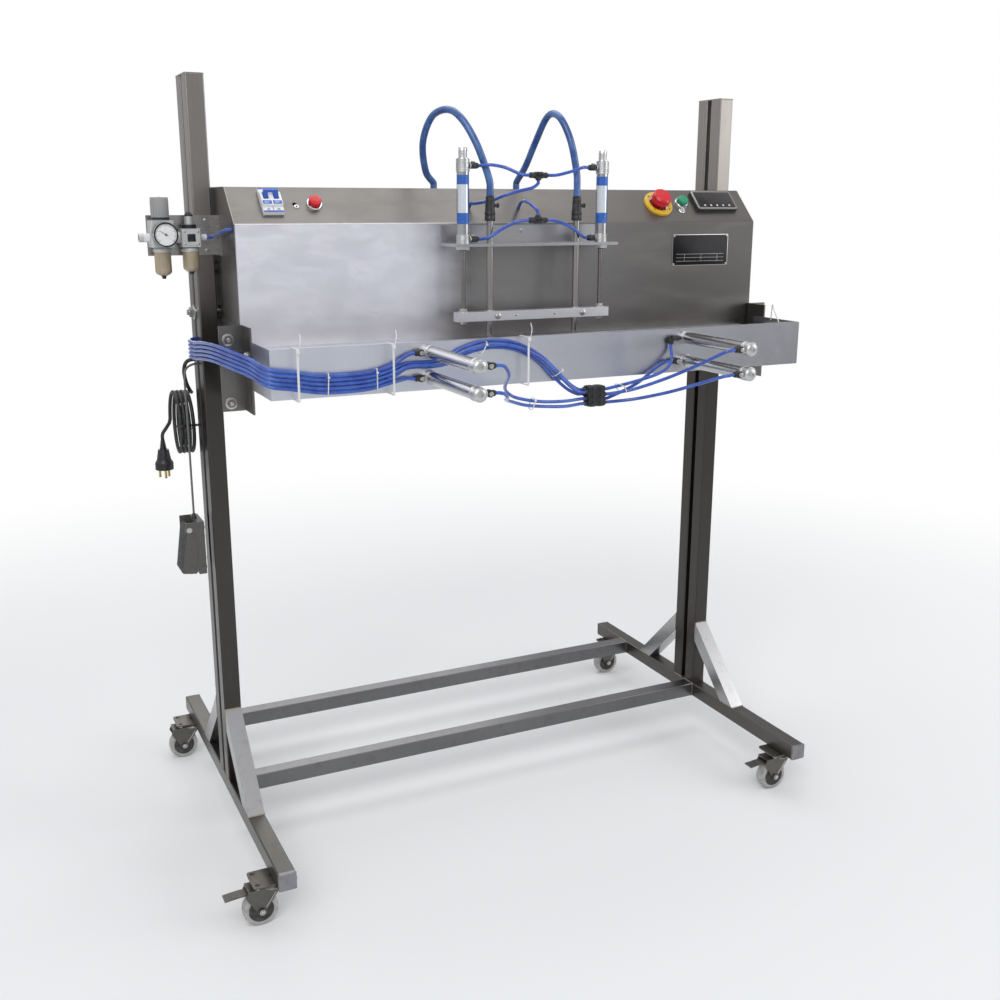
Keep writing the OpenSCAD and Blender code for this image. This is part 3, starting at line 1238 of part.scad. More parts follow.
// Hoses from the nozzles, in arches, to the head's top
hose_sides = 10;
HOSE_LEFT = [
    [-89, -232, 1275], [-96, -230, 1301], [-112, -222, 1346], [-130, -202, 1386], [-144, -172, 1403],
    [-157, -130, 1393], [-161, -95, 1350], [-144, -65, 1300], [-122, -50, 1278]
];
HOSE_RIGHT = [
    [89, -232, 1275], [88, -230, 1301], [78, -225, 1352], [68, -207, 1390], [63, -182, 1402],
    [60, -158, 1392], [58, -122, 1353], [56, -85, 1310], [54, -50, 1280]
];
hose_start = nozzle_top + elbow_l;
jaw_top_drawn = 1000;
with_jaws = [0, 0, jaw_top - jaw_top_drawn];
module vacuum_hoses() made(blue) {
    tube(smooth(concat([[-nozzle_x, -nozzle_y, hose_start]], shifted(HOSE_LEFT, with_jaws),
        [[hose_end_x[0], -hose_hole_y, head_top - sheet_t * 3]]), 3), hose_r, hose_sides);
    tube(smooth(concat([[nozzle_x, -nozzle_y, hose_start]], shifted(HOSE_RIGHT, with_jaws),
        [[hose_end_x[1], -hose_hole_y, head_top - sheet_t * 3]]), 3), hose_r, hose_sides);
}

// Mains lead: out through the post's slot, then a hank hanging outside the left post
mains_r = mains_d / 2;
mains_pitch = mains_d + 0.7;
hank_at = [-582, 67, 835] + beside_post;
hank_y = 46;
hank_z = 58;
hank_steps = 24;
hank_turns = mains_loops + 0.25;
HANK = concat(
    [hank_at + [0, -mains_d, hank_z]],
    [for (i = [0:hank_turns * hank_steps]) let (a = i / hank_steps)
        hank_at + [-a * mains_pitch, hank_y * sin(a * 360), hank_z * cos(a * 360)]],
    [for (e = [[0.3, 0, 1.3], [1.2, 0.5, 2.8], [2.1, 1, 4.2], [2.3, 1.1, 5], [2.3, 1.1, 6]])
        hank_at + [-hank_turns * mains_pitch - e[0] * mains_d, hank_y + e[1] * mains_d, -e[2] * mains_d]]
);
hank_gap = min([for (i = [0:len(HANK) - 1], j = [0:len(HANK) - 1]) if (j > i + hank_steps / 3)
    norm(HANK[i] - HANK[j])]) - mains_d;
echo(least_gap_between_hank_loops = hank_gap);
MAINS = [[-534, 0, lead_exit_z], [-560, 0, lead_exit_z], [-584, 0, lead_exit_z], [-597, 3, 957],
    [-601, 10, 940], [-596, 22, 916], [-587, 38, 899], [-582, 52, 893]];
module mains_lead() made(black) tube(smooth(concat(shifted(MAINS, beside_post), [HANK[0]]), 2), mains_r,
    tube_sides);
module mains_hank() made(black) tube(HANK, mains_r, 6);

// Three-pin plug at the hank's end, hanging pins down
plug_l = 40;
plug_relief_l = 20;
plug_r = 17;
pin_l = 16;
pin_r = 2.4;
pin_ring = 10;
module mains_plug() made(black) translate(HANK[len(HANK) - 1]) rotate([180, 0, 0]) {
    cylinder(r1 = mains_r, r2 = mains_r * 1.8, h = plug_relief_l, $fn = fine);
    translate([0, 0, plug_relief_l]) rotate_extrude($fn = fine) polygon([
        [0, 0], [plug_r * 0.6, 0], [plug_r * 0.8, plug_l * 0.5], [plug_r, plug_l * 0.65],
            [plug_r, plug_l], [0, plug_l]
    ]);
    for (a = [90, 210, 330]) rotate([0, 0, a]) translate([pin_ring, 0, plug_relief_l + plug_l])
        cylinder(r = pin_r, h = pin_l, $fn = fine);
}

// Foot switch hanging on its lead outside the left post
pedal_at = [-604, -8, 560] + beside_post;
pedal_relief_l = 10;
pedal_wall = 3;
pedal_pivot = 14;
pedal_pin_r = 3;
PEDAL_LEAD = [[-534, 0, pedal_exit_z], [-560, 0, pedal_exit_z], [-584, 0, pedal_exit_z],
    [-599, -4, 946], [-604, -8, 930], [-604, -8, 880], [-604, -8, 800], [-604, -8, 720]];
pedal_top = pedal_at + [0, 0, pedal_l + pedal_relief_l];
module pedal_lead() made(grey) tube(smooth(concat(shifted(PEDAL_LEAD, beside_post), [pedal_top]), 2),
    pedal_lead_d / 2, tube_sides);

// The foot switch's own frame: its length up Z, its sole facing the post, its treadle facing out
module in_pedal() translate(pedal_at) rotate([0, 0, 90]) children();
pedal_sole = 14;
pedal_pin_y = pedal_base_h / 2 + 4;
pedal_pin_z = pedal_l - pedal_pivot;
treadle_t = 5;
treadle_w = pedal_w - 2 * pedal_wall - 1;
cheek_x = pedal_w / 2 - pedal_wall;
module across_pedal(x0, x1) translate([x0, 0, 0]) rotate([90, 0, 90]) linear_extrude(x1 - x0) children();
module pedal_base() made(grey) in_pedal() {
    translate([-pedal_w / 2, -pedal_base_h / 2, 0]) cube([pedal_w, pedal_sole, pedal_l]);
    for (x = [-pedal_w / 2, cheek_x]) across_pedal(x, x + pedal_wall) polygon([
        [-pedal_base_h / 2, 0], [-pedal_base_h / 2 + pedal_sole, 0],
            [pedal_pin_y + 2 * pedal_pin_r, pedal_pin_z - 2 * pedal_pin_r],
        [pedal_pin_y + 2 * pedal_pin_r, pedal_l], [-pedal_base_h / 2, pedal_l]
    ]);
    translate([-pedal_w / 2, pedal_pin_y, pedal_pin_z]) rotate([0, 90, 0])
        cylinder(r = pedal_pin_r, h = pedal_w, $fn = fine);
    translate([0, 0, pedal_l]) cylinder(r1 = pedal_lead_d * 1.2, r2 = pedal_lead_d / 2 + over / 2, h =
        pedal_relief_l, $fn = fine);
}
module pedal_treadle() made(dark) in_pedal() translate([0, pedal_pin_y, pedal_pin_z])
    rotate([pedal_angle, 0, 0]) difference() {
    union() {
        translate([-treadle_w / 2, 0, 0]) rotate([0, 90, 0])
            cylinder(r = pedal_pin_r + 2, h = treadle_w, $fn = fine);
        translate([-treadle_w / 2, 0, -pedal_pin_z + pedal_wall])
            cube([treadle_w, treadle_t, pedal_pin_z - pedal_wall]);
    }
    translate([-treadle_w / 2 - over, 0, 0]) rotate([0, 90, 0])
        cylinder(r = pedal_pin_r + pin_fit, h = treadle_w + 2 * over, $fn = fine);
}

left_foot();
right_foot();
front_cross_bar();
rear_cross_bar();
left_post();
right_post();
braces();
caster_plates();
fork_front_left();
fork_front_right();
fork_rear_left();
fork_rear_right();
wheel_front_left();
wheel_front_right();
wheel_rear_left();
wheel_rear_right();
brake_left();
brake_right();
head_shell();
end_plates();
rear_cover();
height_bolts();
front_beam();
beam_brackets();
rear_jaw();
front_jaw();
jaw_rods();
cylinder_barrels();
cylinder_caps();
lift_plate();
lift_rods();
nozzle_bar();
nozzle_tubes();
vacuum_hoses();
breaker_body();
breaker_lever();
panel_bezels();
estop_button();
start_button();
stop_button();
toggle_lever();
controller();
air_plate();
air_unit();
pressure_gauge();
regulator_knob();
transformer();
valve_block();
vacuum_pump();
air_tubes();
lift_tubes();
air_fittings();
cable_ties();
mains_lead();
mains_hank();
mains_plug();
pedal_lead();
pedal_base();
pedal_treadle();
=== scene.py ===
"""Looks of a bag sealing machine: a jaw sealer with vacuum nozzles on a caster stand.

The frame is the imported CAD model, loaded at the top. Each operator below dresses one piece
or one group of like pieces, and the stage operator makes the floor, the lights and the camera.
"""

import json
from math import copysign, cos, pi, radians, sin, sqrt

import bmesh
import bpy
from bpy.props import FloatProperty, FloatVectorProperty, IntProperty, PointerProperty
from mathutils import Matrix, Vector

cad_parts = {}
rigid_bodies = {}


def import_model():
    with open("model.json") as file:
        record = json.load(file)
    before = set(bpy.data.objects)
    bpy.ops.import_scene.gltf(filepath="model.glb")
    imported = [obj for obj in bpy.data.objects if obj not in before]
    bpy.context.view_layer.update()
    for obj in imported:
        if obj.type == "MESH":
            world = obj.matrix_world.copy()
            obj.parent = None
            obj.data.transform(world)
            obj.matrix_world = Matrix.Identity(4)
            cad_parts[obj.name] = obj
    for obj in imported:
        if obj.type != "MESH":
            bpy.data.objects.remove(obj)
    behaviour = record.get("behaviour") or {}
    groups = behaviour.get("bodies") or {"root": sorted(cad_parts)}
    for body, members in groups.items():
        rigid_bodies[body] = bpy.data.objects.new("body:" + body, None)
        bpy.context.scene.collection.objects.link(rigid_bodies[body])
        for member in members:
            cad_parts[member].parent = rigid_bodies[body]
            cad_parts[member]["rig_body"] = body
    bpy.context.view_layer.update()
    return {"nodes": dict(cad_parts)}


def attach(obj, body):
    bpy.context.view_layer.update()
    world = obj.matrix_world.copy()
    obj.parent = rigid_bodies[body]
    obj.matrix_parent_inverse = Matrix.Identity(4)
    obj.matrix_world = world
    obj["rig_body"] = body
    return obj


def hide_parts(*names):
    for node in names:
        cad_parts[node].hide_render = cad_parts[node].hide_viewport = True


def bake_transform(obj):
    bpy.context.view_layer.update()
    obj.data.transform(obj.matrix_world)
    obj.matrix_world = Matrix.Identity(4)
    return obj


bl_info = {
    "name": "Bag Sealing Machine",
    "version": (1, 0, 0),
    "blender": (4, 5, 0),
    "location": "View3D > Sidebar > Sealer",
    "description": "Dresses the packed bag sealer: metals, tubes, leads, controls and casters",
    "category": "Object",
}

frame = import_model()
NODES = frame["nodes"]

MM = 0.001
MID_X, MID_Y = 38.0, 74.5


def at(x, y, z):
    """A point given in millimetres from the middle of the two posts, as the part's source has it."""
    return Vector(((x + MID_X) * MM, (y + MID_Y) * MM, z * MM))


# The control slope's lower crease; places on it are x along the machine and s up the slope
CREASE_Y, CREASE_Z = -181.0, 1206.0


def on_slope(x, s, out=0.0):
    """Frame of a place on the control slope: X along it, Y up it, Z out of its face."""
    c = sqrt(0.5)
    return Matrix.Translation(at(x, CREASE_Y + (s - out) * c, CREASE_Z + (s + out) * c)) @ Matrix.Rotation(
        radians(45), 4, "X"
    )


FACINGS = {
    "-Y": (90, "X"), "Y": (-90, "X"), "X": (90, "Y"), "-X": (-90, "Y"), "Z": (0, "X"), "-Z": (180, "X"),
}


def facing(x, y, z, axis):
    """Frame of a place whose Z points out along an axis: -Y to the operator, Y back, X, -X, Z or -Z."""
    angle, about = FACINGS[axis]
    return Matrix.Translation(at(x, y, z)) @ Matrix.Rotation(radians(angle), 4, about)


def moved(x=0, y=0, z=0):
    """Matrix of a step in millimetres."""
    return Matrix.Translation((x * MM, y * MM, z * MM))


def spun(angle, axis="Z"):
    return Matrix.Rotation(angle, 4, axis)


def around(n):
    """Turns about Z that share a circle out in n."""
    return [spun(2 * pi * i / n) for i in range(n)]


def on_circle(r, a):
    return (r * cos(a), r * sin(a))


IN_ROW = Matrix.Translation(at(0, 0, 0))


# ---- shader wrapper


class Sock:
    """One output socket that takes Python's operators, each of which adds its node."""

    def __init__(self, net, socket):
        self.net, self.socket = net, socket

    def __add__(self, b):
        return self.net.maths("ADD", self, b)

    def __radd__(self, a):
        return self.net.maths("ADD", a, self)

    def __sub__(self, b):
        return self.net.maths("SUBTRACT", self, b)

    def __mul__(self, b):
        return self.net.maths("MULTIPLY", self, b)

    def __gt__(self, b):
        return self.net.maths("GREATER_THAN", self, b)


def toned(colour, share):
    return [min(1.0, c * share) for c in colour]


class Net:
    """The node tree of one material."""

    def __init__(self, name, tree=None):
        if tree is None:
            self.material = bpy.data.materials.new(name)
            self.material.use_nodes = True
            tree = self.material.node_tree
        self.tree = tree
        self.tree.nodes.clear()
        self.here = None

    def node(self, kind, settings=None, sockets=None, out=0):
        made = self.tree.nodes.new(kind)
        for key, value in (settings or {}).items():
            if key == "stops":
                ramp = made.color_ramp
                while len(ramp.elements) > 1:
                    ramp.elements.remove(ramp.elements[0])
                ramp.elements[0].position, ramp.elements[0].color = value[0][0], (*value[0][1], 1)
                for place, colour in value[1:]:
                    ramp.elements.new(place).color = (*colour, 1)
            else:
                setattr(made, key, value)
        for key, value in (sockets or {}).items():
            socket = made.inputs[key]
            if isinstance(value, Sock):
                self.tree.links.new(value.socket, socket)
            elif socket.type == "RGBA" and len(value) == 3:
                socket.default_value = (*value, 1)
            else:
                socket.default_value = value
        return Sock(self, made.outputs[out])

    def maths(self, operation, a, b=0.0):
        return self.node("ShaderNodeMath", {"operation": operation}, {0: a, 1: b})

    def place(self):
        """Object coordinates: on every piece these are the frame's own metres."""
        if self.here is None:
            self.here = self.node("ShaderNodeTexCoord", out="Object")
        return self.here

    def uv(self):
        return self.node("ShaderNodeTexCoord", out="UV")

    def axis(self, name, vector=None):
        return self.node("ShaderNodeSeparateXYZ", None, {0: vector or self.place()}, out=name)

    def scaled(self, vector, by):
        return self.node("ShaderNodeVectorMath", {"operation": "MULTIPLY"}, {0: vector, 1: by})

    def noise(self, by, detail=3.0, rough=0.55, warp=0.0, vector=None):
        """Noise from 0 to 1, with its own scale along each axis, in cells a metre."""
        by = by if hasattr(by, "__len__") else (by, by, by)
        return self.node(
            "ShaderNodeTexNoise",
            {"noise_dimensions": "3D"},
            {
                "Vector": self.scaled(vector or self.place(), by),
                "Scale": 1.0,
                "Detail": detail,
                "Roughness": rough,
                "Distortion": warp,
            },
        )

    def step(self, x, low, high, to_low=0.0, to_high=1.0):
        """Smooth step of x from low to high."""
        return self.node(
            "ShaderNodeMapRange",
            {"interpolation_type": "SMOOTHSTEP", "clamp": True},
            {"Value": x, "From Min": low, "From Max": high, "To Min": to_low, "To Max": to_high},
        )

    def mix(self, share, a, b, how="MIX"):
        return self.node(
            "ShaderNodeMix", {"data_type": "RGBA", "blend_type": how}, {0: share, 6: a, 7: b}, out=2
        )

    def bump(self, height, strength=0.3, distance=0.0005, normal=None):
        sockets = {"Strength": strength, "Distance": distance, "Height": height}
        if normal is not None:
            sockets["Normal"] = normal
        return self.node("ShaderNodeBump", None, sockets)

    def surface(self, colour, rough, metal=0.0, **more):
        """Closes the tree with a Principled shader. Names in more are its sockets, with _ for a space."""
        sockets = {"Base Color": colour, "Roughness": rough, "Metallic": metal}
        sockets.update({key.replace("_", " "): value for key, value in more.items()})
        shader = self.node("ShaderNodeBsdfPrincipled", None, sockets, out="BSDF")
        self._out(shader)
        return self.material

    def _out(self, shader):
        end = self.tree.nodes.new("ShaderNodeOutputMaterial")
        self.tree.links.new(shader.socket, end.inputs["Surface"])


# ---- finishes


def brushed(name, colour, rough, along, haze=0.0, smudge=0.0, grain=1.0, grime=0.0, painted_light=None):
    """Brushed stainless with its grain along one axis, broad haze, hand smudges and grime low down.

    The last argument, when given, paints light or shade by place: an axis, the places where it starts and
    ends, and the colour that it ends in."""
    net = Net(name)
    fine = [1400.0, 1400.0, 1400.0]
    coarse = [260.0, 260.0, 260.0]
    fine["XYZ".index(along)], coarse["XYZ".index(along)] = 9.0, 3.0
    lines = net.noise(fine, 4.0, 0.7)
    strokes = net.noise(coarse, 3.0, 0.6)
    broad = net.noise(2.6, 3.0, 0.55, 0.6)
    marks = net.step(net.noise(11.0, 6.0, 0.72, 1.4), 0.54, 0.70)
    wipe = net.step(net.noise((30.0, 5.0, 9.0), 4.0, 0.6, 0.4), 0.55, 0.75)
    shade = net.mix(net.step(broad, 0.3, 0.7), [c * (1 - 0.24 * haze) for c in colour], colour)
    shade = net.mix(strokes * (0.34 * grain), shade, toned(colour, 1.28))
    shade = net.mix(marks * (0.22 * smudge), shade, toned(colour, 0.62))
    # Painted shade or painted reflection: by place along one axis, the colour is pulled towards a darker or a
    # paler tone.
    if painted_light:
        axis, start, end, painted_tone = painted_light
        shade = net.mix(net.step(net.axis(axis) + (broad - 0.5) * 0.01, start, end, 0.0, 0.92), shade, painted_tone)
    if grime:
        low = net.step(net.axis("Z"), 0.0, 0.42, 1.0, 0.0)
        spots = net.step(net.noise(46.0, 5.0, 0.7), 0.52, 0.68)
        shade = net.mix(low * spots * grime + spots * (0.12 * grime), shade, (0.16, 0.13, 0.10))
    grip = rough + (lines - 0.5) * (0.16 * grain) + marks * (0.10 * smudge) + wipe * (0.07 * smudge)
    normal = net.bump(lines * 0.6 + strokes * 0.4, 0.16 * grain, 0.0002)
    return net.surface(shade, grip, 1.0, Normal=normal)


def welded(name, colour):
    """Weld bead: rippled metal with straw and blue heat tint."""
    net = Net(name)
    heat = net.noise(70.0, 3.0, 0.6, 0.8)
    shade = net.node(
        "ShaderNodeValToRGB",
        {"stops": [
            (0.25, (0.30, 0.28, 0.26)), (0.45, (0.42, 0.34, 0.22)), (0.6, (0.22, 0.20, 0.24)),
            (0.8, colour),
        ]},
        {"Fac": heat},
    )
    ripple = net.noise(900.0, 3.0, 0.6)
    return net.surface(shade, 0.34 + heat * 0.2, 1.0, Normal=net.bump(ripple, 0.35, 0.0003))


def drawn(name, colour, rough, along="Z", wear=0.15):
    """Drawn or turned bright metal: faint lines round it and small handling marks."""
    net = Net(name)
    by = [60.0, 60.0, 60.0]
    by["XYZ".index(along)] = 2600.0
    rings = net.noise(by, 3.0, 0.6)
    marks = net.step(net.noise(160.0, 5.0, 0.7, 0.5), 0.56, 0.72)
    dull = net.noise(18.0, 3.0, 0.5)
    shade = net.mix(dull * 0.5, colour, toned(colour, 0.80))
    shade = net.mix(marks * wear, shade, toned(colour, 0.5))
    return net.surface(
        shade, rough + (rings - 0.5) * 0.10 + marks * wear, 1.0, Normal=net.bump(rings, 0.06, 0.0001)
    )


def cast(name, colour, rough=0.55, grain=1500.0, metal=0.0, depth=0.25):
    """Cast or painted surface with orange peel and darker dust in patches."""
    net = Net(name)
    peel = net.noise(grain, 3.0, 0.6)
    dust = net.noise(60.0, 5.0, 0.65, 0.4)
    shade = net.mix(net.step(dust, 0.42, 0.7) * 0.35, colour, toned(colour, 0.66))
    return net.surface(shade, rough + (dust - 0.5) * 0.18, metal, Normal=net.bump(peel, depth, 0.0002))


def moulded(name, colour, rough=0.38, peel=2400.0, depth=0.10, scuff=0.2):
    """Moulded plastic: fine grain, slight sink marks and rubbed places."""
    net = Net(name)
    fine = net.noise(peel, 2.0, 0.5)
    rub = net.step(net.noise(90.0, 5.0, 0.7, 0.6), 0.55, 0.72)
    broad = net.noise(25.0, 2.0, 0.5)
    pale = [min(1.0, c + (0.5 - c) * 0.18 + 0.03) for c in colour]
    shade = net.mix(rub * scuff, net.mix(broad * 0.25, colour, toned(colour, 0.86)), pale)
    return net.surface(
        shade, rough + rub * (0.2 * scuff) + (fine - 0.5) * 0.12, 0.0, Normal=net.bump(fine, depth, 0.0002),
    )


def hose_skin(name, deep, pale, rough=0.16):
    """Polyurethane tube: glossy and a little milky, with a clean skin."""
    net = Net(name)
    cloud = net.noise(34.0, 3.0, 0.6, 0.4)
    streak = net.noise(400.0, 2.0, 0.5)
    shade = net.mix(net.step(cloud, 0.3, 0.75), deep, pale)
    return net.surface(
        shade, rough + (cloud - 0.5) * 0.12, 0.0, Normal=net.bump(streak, 0.03, 0.0002), Coat_Weight=0.35
    )


def rubber(name, colour, rough=0.62, scuff=0.3):
    """Tyre tread or cable sheath: matt, dusty, with fine scratches round it."""
    net = Net(name)
    fine = net.noise(1900.0, 3.0, 0.6)
    dust = net.step(net.noise(75.0, 5.0, 0.7, 0.5), 0.45, 0.72)
    shade = net.mix(dust * scuff, colour, [c + (0.42 - c) * 0.35 for c in colour])
    return net.surface(shade, rough + dust * 0.18, 0.0, Normal=net.bump(fine, 0.22, 0.0002))


def clear_bowl(name, colour):
    """Polycarbonate bowl: tinted, scratched, with a film of oil inside."""
    net = Net(name)
    film = net.noise((90.0, 90.0, 40.0), 4.0, 0.6, 0.7)
    scratch = net.step(net.noise((900.0, 900.0, 60.0), 3.0, 0.6), 0.60, 0.75)
    shade = net.mix(net.step(film, 0.35, 0.7), colour, toned(colour, 0.78))
    return net.surface(
        shade, 0.10 + scratch * 0.22, 0.0, Normal=net.bump(film, 0.08, 0.0003), Alpha=0.62 + film * 0.22,
        Coat_Weight=0.4,
    )


def seal_cloth(name):
    """Woven glass cloth over the heater, brown and slick, with the weave raised."""
    net = Net(name)
    warp = net.maths("SINE", net.axis("X") * 7000.0)
    weft = net.maths("SINE", net.axis("Z") * 7000.0)
    cross = warp * weft * 0.5 + 0.5
    burn = net.step(net.noise((14.0, 40.0, 160.0), 4.0, 0.6, 0.5), 0.5, 0.72)
    shade = net.mix(burn * 0.6, net.mix(cross, (0.34, 0.22, 0.11), (0.44, 0.30, 0.16)), (0.16, 0.09, 0.04))
    return net.surface(shade, 0.36 + cross * 0.12, 0.0, Normal=net.bump(cross, 0.2, 0.0001))


def silicone(name, colour):
    net = Net(name)
    cloud = net.noise((20.0, 60.0, 60.0), 4.0, 0.6)
    dent = net.step(net.noise((30.0, 200.0, 900.0), 3.0, 0.5), 0.55, 0.7)
    shade = net.mix(cloud * 0.4, colour, toned(colour, 0.75))
    return net.surface(shade, 0.45 + dent * 0.2, 0.0, Normal=net.bump(dent, 0.15, 0.0003))


def sticker(name):
    """Printed film round a cylinder: blue bands at its ends, a pale label with thin rules between."""
    net = Net(name)
    u, v = net.axis("X", net.uv()), net.axis("Y", net.uv())
    ends = net.maths("MAXIMUM", net.step(v, 0.22, 0.235, 1.0, 0.0), net.step(v, 0.80, 0.815))
    rule = net.maths("SINE", v * 190.0) > 0.93
    cell = net.maths("SINE", u * 50.0) > -0.2
    worn = net.step(net.noise(160.0, 5.0, 0.7, 0.7), 0.56, 0.72)
    pale = net.mix(rule * cell * 0.7, (0.62, 0.66, 0.70), (0.12, 0.20, 0.42))
    label = net.step(u, 0.10, 0.11) * net.step(u, 0.56, 0.57, 1.0, 0.0)
    stripe = net.step(u, 0.60, 0.61) * net.step(u, 0.68, 0.69, 1.0, 0.0)
    shade = net.mix(label, net.mix(stripe, (0.66, 0.67, 0.69), (0.05, 0.15, 0.46)), pale)
    shade = net.mix(ends, shade, (0.03, 0.12, 0.44))
    shade = net.mix(worn * 0.35, shade, (0.40, 0.43, 0.46))
    printed = net.maths("MAXIMUM", net.maths("MAXIMUM", label, stripe), ends)
    return net.surface(
        shade, 0.12 + printed * 0.14 + worn * 0.25, net.step(printed, 0.0, 1.0, 1.0, 0.1),
        Normal=net.bump(worn, 0.05, 0.0001),
    )


def dial(name):
    """Gauge face: off-white card with a faint paper grain and a soft vignette of age."""
    net = Net(name)
    age = net.noise(300.0, 4.0, 0.6)
    shade = net.mix(net.step(age, 0.4, 0.7) * 0.4, (0.80, 0.80, 0.78), (0.66, 0.65, 0.60))
    return net.surface(shade, 0.5 + age * 0.1, 0.0, Normal=net.bump(age, 0.05, 0.0001))


def glass(name):
    net = Net(name)
    dust = net.step(net.noise(220.0, 5.0, 0.7), 0.5, 0.75)
    return net.surface(
        net.mix(dust * 0.3, (0.9, 0.93, 0.95), (0.7, 0.7, 0.68)), 0.05 + dust * 0.25, 0.0,
        Alpha=0.14 + dust * 0.10,
        Normal=net.bump(dust, 0.02, 0.0001), Coat_Weight=0.5,
    )


def panel_steel(name):
    """The head's sheet: a bright, cool painted reflection on the front's left, painted shade making it
    browner to the right, where it is also hand-marked, and on the slope.
    """
    net = Net(name)
    spot = net.place()
    across = net.axis("X", spot)
    height = net.axis("Z", spot)
    grain = net.noise((6.0, 900.0, 900.0), 4.0, 0.6)
    haze = net.noise((3.2, 7.0, 11.0), 4.0, 0.55, 0.3)
    hands = net.noise((15.0, 22.0, 34.0), 5.0, 0.62, 0.5)
    # Edge between the left's painted reflection and the right's painted shade.
    right = net.step(across + (haze - 0.5) * 0.12, -0.19, -0.06)
    slope = net.step(height, 1.204, 1.209)
    # Painted reflection in bright bluish white on the front's left, painted shade in dark brownish grey to
    # its right.
    lower = net.mix(right, (0.90, 0.905, 0.97), (0.26, 0.255, 0.255))
    # More painted shade towards the right end.
    lower = net.mix(net.step(across, 0.0, 0.42), lower, (0.125, 0.12, 0.115))
    # The slope gets its own darker colour: painted shade from how the light falls on it.
    colour = net.mix(slope, lower, (0.20, 0.19, 0.178))
    pale = net.mix(net.maths("MAXIMUM", right, slope), (0.98, 0.98, 1.0), (0.25, 0.24, 0.23))
    # The haze pulls towards the painted reflection's white on the left, and towards painted shade on the
    # right and the slope.
    colour = net.mix(net.step(haze, 0.42, 0.72, 0.0, 0.42), colour, pale)
    colour = net.mix(net.step(hands, 0.58, 0.74, 0.0, 0.14), colour, (0.22, 0.20, 0.19))
    rough = net.step(hands, 0.35, 0.75, 0.30, 0.42)
    return net.surface(colour, rough + grain * 0.10, 1.0, Normal=net.bump(grain, 0.10, 0.0002))


def two_tone(name, axis, edge, low, high):
    """One finish below a height or place, another above it, as on a tube with its black elbow."""
    net = Net(name)
    share = net.step(net.axis(axis, net.place()), edge - 0.00002, edge + 0.00002)
    grain = net.noise(1800.0, 3.0, 0.6)
    wear = net.noise(60.0, 4.0, 0.6, 1.0)
    colour = net.mix(share, low[0], high[0])
    colour = net.mix(net.step(wear, 0.5, 0.75, 0.0, 0.2), colour, (0.30, 0.29, 0.28))
    rough = net.step(share, 0.0, 1.0, low[1], high[1]) + grain * 0.06
    metal = net.step(share, 0.0, 1.0, low[2], high[2])
    return net.surface(colour, rough, metal, Normal=net.bump(grain, 0.06, 0.0001))


def wheel_tone(name):
    """Pale grey tyre with scuffs and dust; the hub's black disc is a piece of its own."""
    net = Net(name)
    scuff = net.noise(90.0, 5.0, 0.6, 1.5)
    dust = net.noise(18.0, 3.0, 0.55)
    colour = net.mix(net.step(scuff, 0.42, 0.70), (0.44, 0.43, 0.415), (0.27, 0.26, 0.245))
    colour = net.mix(net.step(dust, 0.45, 0.75, 0.0, 0.35), colour, (0.52, 0.49, 0.45))
    return net.surface(
        colour, net.step(scuff, 0.3, 0.7, 0.50, 0.68), 0.0, Normal=net.bump(scuff, 0.12, 0.0003),
    )


